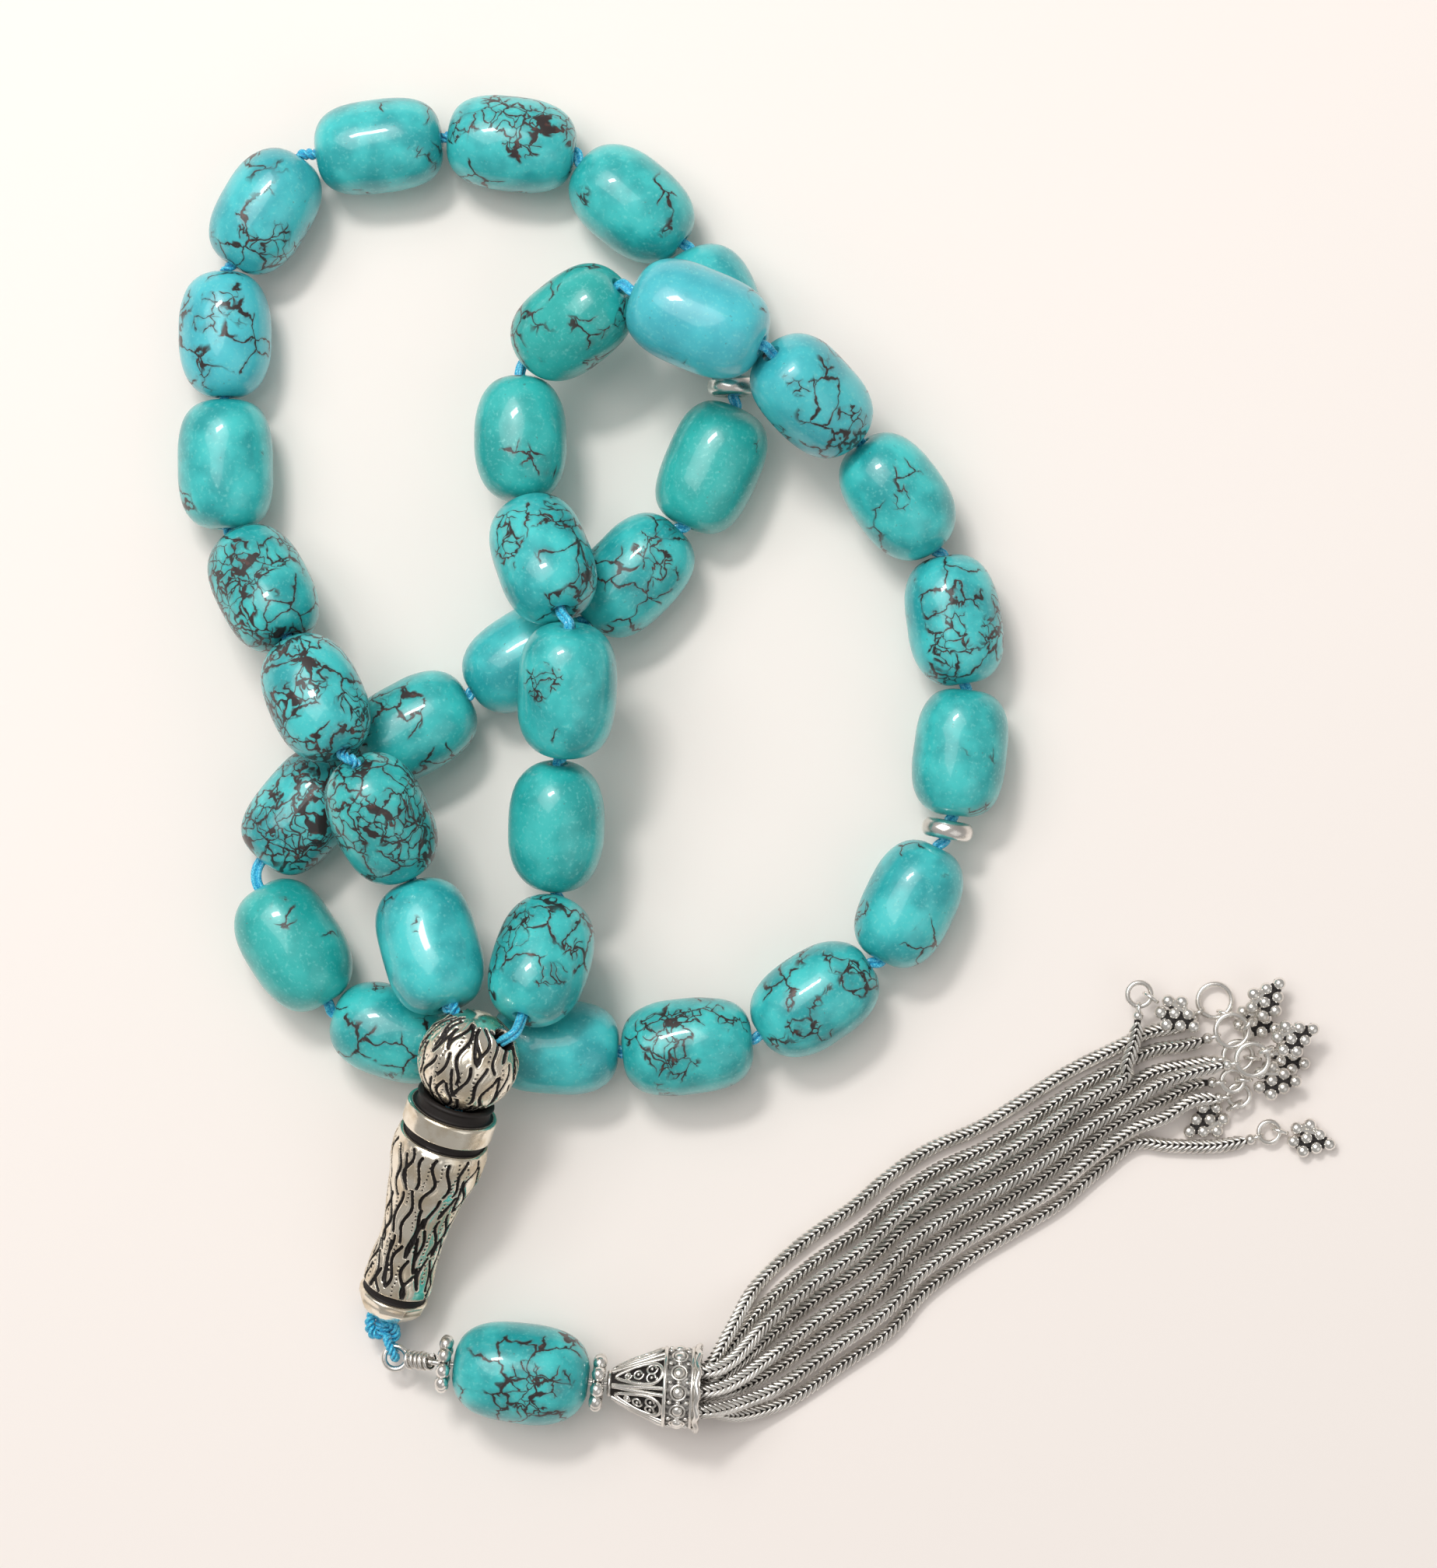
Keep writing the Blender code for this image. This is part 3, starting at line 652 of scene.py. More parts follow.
@dataclass
class StoneBead:
    """A polished barrel bead with a bore, in mm.

    Its outline is a superellipse from one small flat end to the other.
    """

    length: float = 14.1
    radius: float = 5.2
    flat_radius: float = 1.5
    bore_radius: float = 0.82
    roundness: float = 2.75
    outline_points: int = 44
    steps: int = 60

    def outline(self) -> list[tuple[float, float, float]]:
        """The closed outline of (along, radius, darkness), outside and then back through the bore."""
        power = self.roundness
        first = math.asin((self.flat_radius / self.radius) ** (power / 2))
        reach = math.cos(first) ** (2 / power)
        outside = []
        for number in range(self.outline_points + 1):
            angle = mix_numbers(first, math.pi - first, number / self.outline_points)
            cosine = math.cos(angle)
            along = math.copysign(abs(cosine) ** (2 / power), cosine) * self.length / 2 / reach
            outside.append((along, math.sin(angle) ** (2 / power) * self.radius, 0.0))
        half = self.length / 2
        lips = [(half - 0.05, self.bore_radius + 0.25, 0.0), (half - 0.45, self.bore_radius, 0.0)]
        bore = [(-half + 0.45, self.bore_radius, 0.0), (-half + 0.05, self.bore_radius + 0.25, 0.0)]
        return [*lips[::-1], *outside, *bore[::-1]]

    def mesh(self, name: str, seed: int, veins: VeinDensity, tint: float) -> bpy.types.Mesh:
        """The bead's mesh in its own frame, a little uneven, with its stone marked out.

        Args:
            name: The piece's name.
            seed: What makes this bead's stone its own.
            veins: How veined it is.
            tint: From -1, greener, to 1, bluer.

        Returns:
            The mesh in mm.
        """
        shells = Shells()
        shells.turned(self.outline(), self.steps)
        mesh = shells.mesh(name)
        rock = coordinates(mesh)
        own = random.Random(seed)
        place = Vector([own.uniform(-ROCK_REACH, ROCK_REACH) for _ in range(3)])
        for point in mesh.vertices:
            out = Vector((0, point.co.y, point.co.z))
            if out.length > self.flat_radius:
                broad = noise.noise(point.co * 0.16 + place) * 0.13
                fine = noise.noise(point.co * 0.4 + place) * 0.05
                point.co += out.normalized() * (broad + fine)
        grain = mesh.attributes.new("grain", "FLOAT_VECTOR", "POINT")
        grain.data.foreach_set("vector", (rock + np.array(place)).ravel().astype(np.float32))
        for label, value in (("veining", veins.value), ("tint", tint)):
            mesh.attributes.new(label, "FLOAT", "POINT").data.foreach_set("value", [value] * len(rock))
        return mesh


@dataclass
class BeadLoop:
    """The thirty-three stone beads of the string."""

    count: int = 33
    plain: tuple = (5, 11, 12, 14, 17, 19, 23, 27, 29, 31, 32)
    few: tuple = (1, 8, 25, 10, 22)
    heavy: tuple = (2, 3, 4, 16)
    bluer: tuple = (6, 7, 27, 26)
    greener: tuple = (12, 17, 28, 29, 32)

    def veins(self, number: int) -> VeinDensity:
        """How veined a bead is."""
        if number in self.plain:
            return VeinDensity.PLAIN
        if number in self.few:
            return VeinDensity.FEW
        return VeinDensity.HEAVY if number in self.heavy else VeinDensity.MEDIUM

    def tint(self, number: int) -> float:
        """Whether a bead is bluer or greener than most."""
        return 0.4 * (number in self.bluer) - 0.45 * (number in self.greener) + 0.12 * math.sin(number * 2.4)

    def build(self, stone: bpy.types.Material) -> None:
        """Makes every bead round its own joint."""
        for number in range(1, self.count + 1):
            node = f"bead_{number:02d}"
            centre, axis = joint_line(f"{node}_spin")
            scale = node_scale(node, centre, axis)
            bead = StoneBead(
                length=StoneBead.length * scale, radius=StoneBead.radius * scale,
                roundness=2.75 + 0.25 * math.sin(number * 1.7),
            )
            mesh = bead.mesh(f"stone_{node}", 100 + number, self.veins(number), self.tint(number))
            placed(mesh, along_axis(centre, axis), stone, node, [node])
        LOG.info("%d stone beads", self.count)


def node_scale(node: str, centre: Vector, axis: Vector) -> float:
    """The size of a bead's node against a bead of plain size."""
    reach = max(abs((point.co / MM - centre).dot(axis)) for point in frame["nodes"][node].data.vertices)
    return reach * 2 / StoneBead.length


@dataclass
class SeparatorDisc:
    """A small turned silver disc between two beads of the string, in mm."""

    radius: float = 2.85
    half: float = 1.0
    bore: float = 0.85
    rounding: float = 0.75
    steps: int = 56
    count: int = 2

    def outline(self) -> list[tuple[float, float, float]]:
        """The closed outline, with a round edge and a shallow groove round the bore."""
        edge = [
            (math.cos(turn) * self.half, self.radius - self.rounding + math.sin(turn) * self.rounding, 0.0)
            for turn in (math.pi * step / 12 for step in range(13))
        ]
        face = [(self.half, 1.0, 0.2), (self.half + 0.08, 1.3, 0.0)]
        back = [(-self.half - 0.08, 1.3, 0.0), (-self.half, 1.0, 0.2)]
        # The bore is drawn black and the groove round it a little dark: tarnish and painted shade in the
        # hollow.
        return [(self.half - 0.2, self.bore, 1.0), *face, *edge, *back, (-self.half + 0.2, self.bore, 1.0)]

    def build(self, silver: bpy.types.Material) -> None:
        """Makes both discs."""
        for number in range(1, self.count + 1):
            node = f"separator_disc_{number}"
            shells = Shells()
            shells.turned(self.outline(), self.steps)
            mesh = shells.mesh(f"silver_disc_{number}")
            placed(mesh, along_axis(*joint_line(f"{node}_spin")), silver, node, [node])
        LOG.info("%d separator discs", self.count)


@dataclass
class TwistedCord:
    """Three plies of nylon laid together, in mm."""

    radius: float = 0.65
    ply_offset: float = 0.36
    plies: int = 3
    lay: float = 2.2
    section_points: int = 18
    spacing: float = 0.135

    def section(self, scale: float) -> bpy.types.Object:
        """A curve object with the outline of the plies side by side."""
        curve = bpy.data.curves.new("plies", "CURVE")
        curve.dimensions = "2D"
        spline = curve.splines.new("POLY")
        spline.points.add(self.section_points - 1)
        spline.use_cyclic_u = True
        ply = self.radius - self.ply_offset
        sector = math.tau / self.plies
        for number, place in enumerate(spline.points):
            angle = math.tau * number / self.section_points
            inside = (angle + sector / 2) % sector - sector / 2
            across = self.ply_offset * math.sin(inside)
            reach = self.ply_offset * math.cos(inside) + math.sqrt(max(ply ** 2 - across ** 2, 0.0))
            place.co = (math.cos(angle) * reach * scale, math.sin(angle) * reach * scale, 0, 1)
        piece = bpy.data.objects.new("plies", curve)
        bpy.context.scene.collection.objects.link(piece)
        return piece

    def mesh(self, points: Sequence[Vector], closed: bool = False, scale: float = 1.0) -> bpy.types.Mesh:
        """A cord along a line, its plies turning once in each lay."""
        line = even_line(points, self.spacing)
        step = line_length(line) / (len(line) - 1)
        if closed:
            line = line[:-1]
        section = self.section(scale)
        lay = self.lay * scale
        if closed:
            turns = max(1, round(len(line) * step / lay * self.plies)) / self.plies
            lay = len(line) * step / turns
        tilts = [math.tau * number * step / lay for number in range(len(line))]
        made = tube(line, 0, closed, section=section, tilts=tilts)
        bpy.data.objects.remove(section)
        return made


@dataclass
class ImamShape:
    """The sizes of the silver imam that its pieces and the cord share, in mm and degrees."""

    place: tuple = (-31.3, -31.9, 13.8)
    heading: float = 251.5
    pitch: float = -19.5
    ball_radius: float = 5.4
    hole_angle: float = 38.0
    hole_roll: float = 25.0
    hole_radius: float = 1.15
    knot_distance: float = 33.5

    def placing(self) -> Matrix:
        """The imam's placing: its origin is the ball's centre, and its X runs down to the knot."""
        return lying(self.place, self.heading, self.pitch)

    def holes(self) -> tuple[Vector, Vector]:
        """The ball's two string holes as directions in the imam's own axes: left, then right."""
        angle, roll = math.radians(self.hole_angle), math.radians(self.hole_roll)
        side = Vector((0, math.cos(roll), math.sin(roll))) * math.sin(angle)
        top = Vector((-math.cos(angle), 0, 0))
        return top - side, top + side

    def knot_link(self) -> Vector:
        """Where the knot's loop holds the wire's eye: the side of the eye that faces the knot."""
        eye = TasselWire.eye()
        knot = self.placing() @ Vector((self.knot_distance, 0, 0))
        return eye + Vector((knot.x - eye.x, knot.y - eye.y, 0)).normalized() * TasselWire.eye_radius


@dataclass
class StringLoop:
    """The nylon string from the imam's left hole through every bead and disc to its right hole, in mm."""

    imam: ImamShape
    cord: TwistedCord
    sunk: float = 0.6
    clear: float = 0.9
    steps: int = 8
    length: float = 0.525
    discs_after: tuple = (11, 22)

    def bores(self) -> list[tuple[Vector, Vector]]:
        """Each end of each bore in order, with the direction that the string has there."""
        bores = []
        for number in range(1, BeadLoop.count + 1):
            centre, axis = joint_line(f"bead_{number:02d}_spin")
            scale = node_scale(f"bead_{number:02d}", centre, axis)
            bores.append((centre, axis, StoneBead.length / 2 * scale))
            if number in self.discs_after:
                disc = self.discs_after.index(number) + 1
                bores.append((*joint_line(f"separator_disc_{disc}_spin"), SeparatorDisc.half))
        return [(centre + axis * (side * half), axis) for centre, axis, half in bores for side in (-1, 1)]

    def route(self) -> list[Vector]:
        """The string's centreline: straight in each bore, and a smooth bend between two of them."""
        placing = self.imam.placing()
        turn = placing.to_3x3()
        left, right = self.imam.holes()
        deep, out = self.imam.ball_radius - self.sunk, self.imam.ball_radius + self.clear
        stations = [(placing @ (left * deep), turn @ left), (placing @ (left * out), turn @ left)]
        stations += self.bores()
        stations += [(placing @ (right * out), turn @ -right), (placing @ (right * deep), turn @ -right)]
        line = []
        for (start, leaving), (end, arriving) in zip(stations, stations[1:]):
            pull = (end - start).length * 0.36
            a, b = start + leaving * pull, end - arriving * pull
            for step in range(self.steps):
                t = step / self.steps
                s = 1 - t
                line.append(start * s ** 3 + a * (3 * s * s * t) + b * (3 * s * t * t) + end * t ** 3)
        return [*line, stations[-1][0]]

    def build(self, nylon: bpy.types.Material) -> None:
        line = even_line(self.route(), self.cord.spacing)
        mesh = self.cord.mesh(line)
        mesh.name = "blue_string"
        piece = placed(mesh, Matrix(), nylon, "string", ["string_loop"], crease=80.0)
        LOG.info("string, %.1f mm long", line_length(line))
        2 * self.cord.radius * MM


@dataclass
class Engraving:
    """Wavy lines and dots cut along a turned piece, in mm. Angles run round the piece's own X."""

    start: float
    end: float
    columns: int
    seed: int
    half_width: float = 0.19
    depth: float = 0.27
    ridge: float = 0.06
    dot_radius: float = 0.12

    def strokes(self) -> list[list[tuple[float, float]]]:
        """The lines, as points of (along, angle), and the dots, each a line of one point."""
        own = random.Random(self.seed)
        pitch = math.tau / self.columns
        strokes = []
        for column in range(self.columns):
            base = pitch * (column + own.uniform(-0.2, 0.2))
            along = self.start + own.uniform(0.0, 1.2)
            while along < self.end - 0.8:
                stop = min(along + own.uniform(2.5, 7.0), self.end)
                sway, phase = own.uniform(0.14, 0.42) * pitch, own.uniform(0, math.tau)
                drift = own.uniform(-0.45, 0.45) * pitch
                count = max(4, int((stop - along) / 0.12))
                shares = [n / count for n in range(count + 1)]
                waves = [sway * math.sin(phase + s * (stop - along) * 1.3) for s in shares]
                places = [mix_numbers(along, stop, s) for s in shares]
                leg = [(at, base + drift * s + wave) for at, s, wave in zip(places, shares, waves)]
                if own.random() < 0.4:
                    opening = own.choice((-0.62, 0.62)) * pitch
                    back = mix_numbers(stop, along, own.uniform(0.45, 0.85))
                    leg += [(mix_numbers(stop, back, s), leg[-1][1] + opening * s ** 0.7) for s in shares]
                strokes.append(leg)
                if own.random() < 0.7:
                    row = base + 0.5 * pitch
                    first = along + own.uniform(0, 1.0)
                    count = own.randint(3, 8)
                    dots = [(first + 0.50 * n, row + own.uniform(-0.1, 0.1) * pitch) for n in range(count)]
                    strokes += [[dot] for dot in dots]
                along = stop + own.uniform(0.2, 0.6)
        return strokes

    def distance(self, along: np.ndarray, angle: np.ndarray, radius: np.ndarray) -> np.ndarray:
        """How far each point of a surface is from the nearest line, less at a dot."""
        nearest = np.full(len(along), 9.0)
        for stroke in self.strokes():
            shift = self.half_width - self.dot_radius if len(stroke) == 1 else 0.0
            low = min(point[0] for point in stroke) - 1.0
            high = max(point[0] for point in stroke) + 1.0
            here = np.flatnonzero((along > low) & (along < high))
            for at, turn in stroke:
                around = (angle[here] - turn + math.pi) % math.tau - math.pi
                far = np.hypot(along[here] - at, around * radius[here]) + shift
                nearest[here] = np.minimum(nearest[here], far)
        return nearest

    def cut(self, mesh: bpy.types.Mesh, along_of: "np.ndarray | None" = None) -> None:
        """Cuts the lines into a mesh between start and end, and marks them as tarnished.

        Args:
            mesh: A turned mesh in its own frame, with an attribute of tarnish and painted shade.
            along_of: Each point's distance along the surface, where that isn't its X.
        """
        points, tarnish_and_shade, normals = coordinates(mesh), tarnish_and_shade_of(mesh), coordinates(mesh, "normal")
        radius = np.hypot(points[:, 1], points[:, 2])
        angle = np.arctan2(points[:, 2], points[:, 1])
        along = points[:, 0] if along_of is None else along_of
        wide = (radius > 2.0) | (along_of is not None)
        inside = (along > self.start - 0.2) & (along < self.end + 0.2) & wide & (tarnish_and_shade < 0.5)
        far = self.distance(along, angle, radius)
        groove = np.clip(1 - (far / self.half_width) ** 2, 0, 1) * self.depth
        raised = self.ridge * np.exp(-(((far - 1.7 * self.half_width) / (0.6 * self.half_width)) ** 2))
        points += normals * ((raised - groove) * inside)[:, None]
        dark = np.clip(1 - far / (2 * self.half_width), 0, 1) * inside
        reshape(mesh, points, np.maximum(tarnish_and_shade, dark))


@dataclass
class Imam:
    """The engraved silver ball and body, in mm from the ball's centre."""

    shape: ImamShape
    steps: int = 216
    bore: float = 1.5
    # Points of (along, radius, darkness): the recessed rings below the ball and round the body are drawn
    # black, tarnish and painted shade in the recesses.
    body_lines: tuple = (
        (5.8, 1.5, 1.0), (4.35, 3.7, 1.0), (4.4, 4.15, 1.0), (4.6, 4.3, 1.0), (4.75, 4.3, 1.0),
        (4.8, 4.0, 1.0), (5.85, 4.1, 1.0), (5.9, 4.9, 0.0), (6.1, 5.02, 0.0), (8.25, 4.98, 0.0),
        (8.4, 4.9, 0.0), (8.45, 4.35, 1.0),
        (9.35, 4.35, 1.0), (9.4, 4.9, 0.0), (10.0, 5.08, 0.0), (11.0, 5.15, 0.0), (13.0, 4.95, 0.0),
        (15.2, 4.45, 0.0), (18.0, 3.92, 0.0), (20.3, 3.58, 0.0), (23.5, 3.45, 0.0), (26.0, 3.6, 0.0),
        (27.9, 3.82, 0.0), (28.1, 3.78, 0.0), (28.2, 3.35, 1.0), (29.0, 3.35, 1.0), (29.05, 3.75, 0.0),
        (29.3, 3.88, 0.0), (30.3, 3.75, 0.0), (31.1, 3.15, 0.0), (31.8, 2.35, 0.0), (31.8, 1.5, 1.0),
    )
    facets: int = 9
    facet_start: float = 29.2
    rings: int = 104
    pole_angle: float = 0.3
    neck_angle: float = 164.0
    hole_depth: float = 1.9
    hole_flare: float = 0.12
    lip_height: float = 0.12
    lip_offset: float = 0.3
    edge_width: float = 0.16
    uneven_span: tuple = (9.3, 28.15)
    unevenness: float = 0.22

    def ball(self, silver: bpy.types.Material) -> None:
        """Makes the ball, with its two string holes and its engraving."""
        radius = self.shape.ball_radius
        first, last = math.radians(self.pole_angle), math.radians(self.neck_angle)
        outside = [
            (-math.cos(angle) * radius, math.sin(angle) * radius, 0.0)
            for angle in (mix_numbers(first, last, n / self.rings) for n in range(self.rings + 1))
        ]
        # The bore inside the ball is drawn black: painted shade in the hole, with tarnish.
        inside = [(radius - 0.5, self.bore, 1.0), (-radius + 2.5, self.bore, 1.0), (-radius + 2.2, 0.1, 1.0)]
        shells = Shells()
        closing = (-radius + 0.3, 0.02, 1.0)
        shells.turned([*outside, *inside, closing], self.steps)
        mesh = shells.mesh("engraved_ball")
        points = coordinates(mesh)
        arc = np.arccos(np.clip(-points[:, 0] / radius, -1, 1)) * radius
        surface = np.linalg.norm(points, axis=1) > radius - 0.1
        elsewhere = -50.0
        Engraving(start=2.0, end=14.6, columns=22, seed=5).cut(mesh, np.where(surface, arc, elsewhere))
        points, tarnish_and_shade = coordinates(mesh), tarnish_and_shade_of(mesh)
        for way in self.shape.holes():
            direction = np.array(way)
            height = points @ direction
            far = np.linalg.norm(points - np.outer(height, direction), axis=1)
            near = surface & (height > 0)
            past = far - self.shape.hole_radius
            sunk = np.clip((self.hole_flare - past) / self.edge_width, 0, 1) * near
            lip = np.exp(-(((past - self.lip_offset) / self.edge_width) ** 2)) * near
            points += np.outer(lip * self.lip_height - sunk * self.hole_depth, direction)
            # The mouth of each string hole is drawn black: painted shade in the hole, with tarnish.
            tarnish_and_shade = np.where(near & (far < self.shape.hole_radius + 0.08), 1.0, tarnish_and_shade)
        reshape(mesh, points, tarnish_and_shade)
        placed(mesh, self.shape.placing(), silver, "imam", ["imam_ball"], crease=75.0)
        LOG.info("imam ball")

    def outline(self) -> list[tuple[float, float, float]]:
        """The body's outline at even steps, with its corners eased, then back through the bore."""
        corners = np.array(self.body_lines)
        reach = np.concatenate([[0], np.cumsum(np.hypot(*np.diff(corners[:, :2], axis=0).T))])
        places = np.arange(0, reach[-1], 0.13)
        line = np.stack([np.interp(places, reach, axis) for axis in corners.T], axis=1)
        eased = line.copy()
        eased[1:-1, :2] = (line[:-2, :2] + 2 * line[1:-1, :2] + line[2:, :2]) / 4
        return [tuple(point) for point in eased] + [tuple(corners[-1])]

    def body(self, silver: bpy.types.Material) -> None:
        """Makes the turned body with its engraving and its faceted end."""
        shells = Shells()
        shells.turned(self.outline(), self.steps)
        mesh = shells.mesh("engraved_body")
        Engraving(start=9.7, end=27.8, columns=21, seed=12).cut(mesh)
        sector = math.tau / self.facets
        for point in mesh.vertices:
            out = Vector((0, point.co.y, point.co.z))
            if out.length < self.bore + 0.3:
                continue
            away = out.normalized()
            if point.co.x > self.facet_start:
                inside = (math.atan2(out.z, out.y) + sector / 2) % sector - sector / 2
                flat = math.cos(sector / 2) / math.cos(inside)
                share = min(1.0, (point.co.x - self.facet_start) / 0.6)
                point.co -= away * out.length * (1 - flat) * share
            elif self.uneven_span[0] < point.co.x < self.uneven_span[1]:
                point.co += away * noise.noise(point.co * 0.33) * self.unevenness
        placed(mesh, self.shape.placing(), silver, "imam", ["imam_body"], crease=50.0)
        LOG.info("imam body")

    def build(self, silver: bpy.types.Material) -> None:
        """Makes both pieces of the imam."""
        self.ball(silver)
        self.body(silver)


@dataclass
class KnotAndTail:
    """The string's two legs inside the imam, the knot below it and the loop round the wire's eye, in mm."""

    shape: ImamShape
    cord: TwistedCord
    knot_scale: tuple = (0.36, 0.58, 1.35)
    cord_scale: float = 0.92
    stem_offset: float = 0.55
    loop_scale: float = 0.78

    def build(self, nylon: bpy.types.Material) -> None:
        """Makes the cord below the ball as one piece."""
        shells = Shells()
        end = self.shape.knot_distance
        for way, side in zip(self.shape.holes(), (-1, 1)):
            offset = self.stem_offset * side
            leg = [
                way * (self.shape.ball_radius - 1.45), way * 2.6, Vector((1.2, offset, 0)),
                Vector((8.0, offset, 0)), Vector((20.0, offset, 0)), Vector((end - 2.6, offset, 0)),
                Vector((end - 0.4, offset * 1.4, 0.3 * side)),
            ]
            shells.keep(self.cord.mesh(smooth_line(leg, 8), scale=0.85))
        shells.keep(self.knot(end))
        link = self.shape.knot_link()
        away = link - TasselWire.eye()
        across = Vector((away.y, -away.x, 0)).normalized()
        turn = across.to_track_quat("Z", "Y").to_matrix()
        angles = [math.tau * n / 48 for n in range(49)]
        hoop = [link + turn @ (Vector((math.cos(a), math.sin(a), 0)) * TasselWire.eye_radius) for a in angles]
        loop = self.cord.mesh(hoop, closed=True, scale=self.loop_scale)
        shells.keep(loop, matrix=self.shape.placing().inverted())
        mesh = shells.mesh("blue_knot")
        placed(mesh, self.shape.placing(), nylon, "imam", ["string_tail"], crease=80.0)
        LOG.info("string tail and knot")

    def knot(self, end: float) -> bpy.types.Mesh:
        """The knot's own cord, wound over and under itself about the tail's end."""
        x_scale, y_scale, z_scale = self.knot_scale
        turns = [math.tau * n / 72 for n in range(73)]
        line = [
            Vector((
                end + z_scale * math.sin(3 * t) * 0.75,
                (math.sin(t) + 2 * math.sin(2 * t)) * y_scale,
                (math.cos(t) - 2 * math.cos(2 * t)) * x_scale,
            ))
            for t in turns
        ]
        return self.cord.mesh(line, closed=True, scale=self.cord_scale)


@dataclass
class TasselWire:
    """The silver wire, in mm: its eye in the knot, the wraps, the straight pin and the inner eye."""

    eye_radius: float = 1.25
    wire_radius: float = 0.33
    wrap_wire: float = 0.25
    wraps: int = 5
    wrap_start: float = 1.75
    wrap_end: float = 4.7
    inner_eye: float = 0.9
    wrap_radius: float = 0.80
    wrap_sway: float = 0.08
    neck_gap: float = 1.4
    straight_reaches: tuple = (2.0, 2.8, 3.6)

    @staticmethod
    def eye() -> Vector:
        """The middle of the eye."""
        return Vector((-39.95, -65.3, 3.2)) + SHIFT

    def build(self, silver: bpy.types.Material, head: "TasselHead") -> None:
        """Makes the wire as one piece."""
        eye = self.eye()
        neck = head.at(-head.spacer_offset - self.neck_gap)
        way = (neck - eye).normalized()
        side = Vector((0, 0, 1)).cross(way).normalized()
        up = way.cross(side)
        shells = Shells()
        shells.hoop(eye, self.eye_radius, self.wire_radius, (0, 0, 1))
        inner = head.cap_placing() @ Vector((head.inner_eye_along, 0, 0))
        pin_end = head.cap_placing() @ Vector((head.inner_eye_along - self.inner_eye, 0, 0))
        straight = [eye + way * reach for reach in (self.eye_radius, *self.straight_reaches)]
        pin = [*straight, neck, head.at(-head.spacer_offset), head.at(head.spacer_offset), pin_end]
        shells.wire(smooth_line(pin, 12), self.wire_radius)
        shells.hoop(inner, self.inner_eye, self.wire_radius, (0, 0, 1))
        count = 24 * self.wraps
        coil = []
        for number in range(count + 1):
            share = number / count
            turn = math.tau * self.wraps * share
            radius = self.wrap_radius + self.wrap_sway * math.sin(turn * 0.37 + 1.0)
            middle = eye + way * mix_numbers(self.wrap_start, self.wrap_end, share)
            coil.append(middle + (side * math.cos(turn) + up * math.sin(turn)) * radius)
        shells.wire(coil, self.wrap_wire)
        placed(shells.mesh("silver_wire"), Matrix(), silver, "wire", ["tassel_wire"], crease=60.0)
        LOG.info("tassel wire, %d wraps", self.wraps)


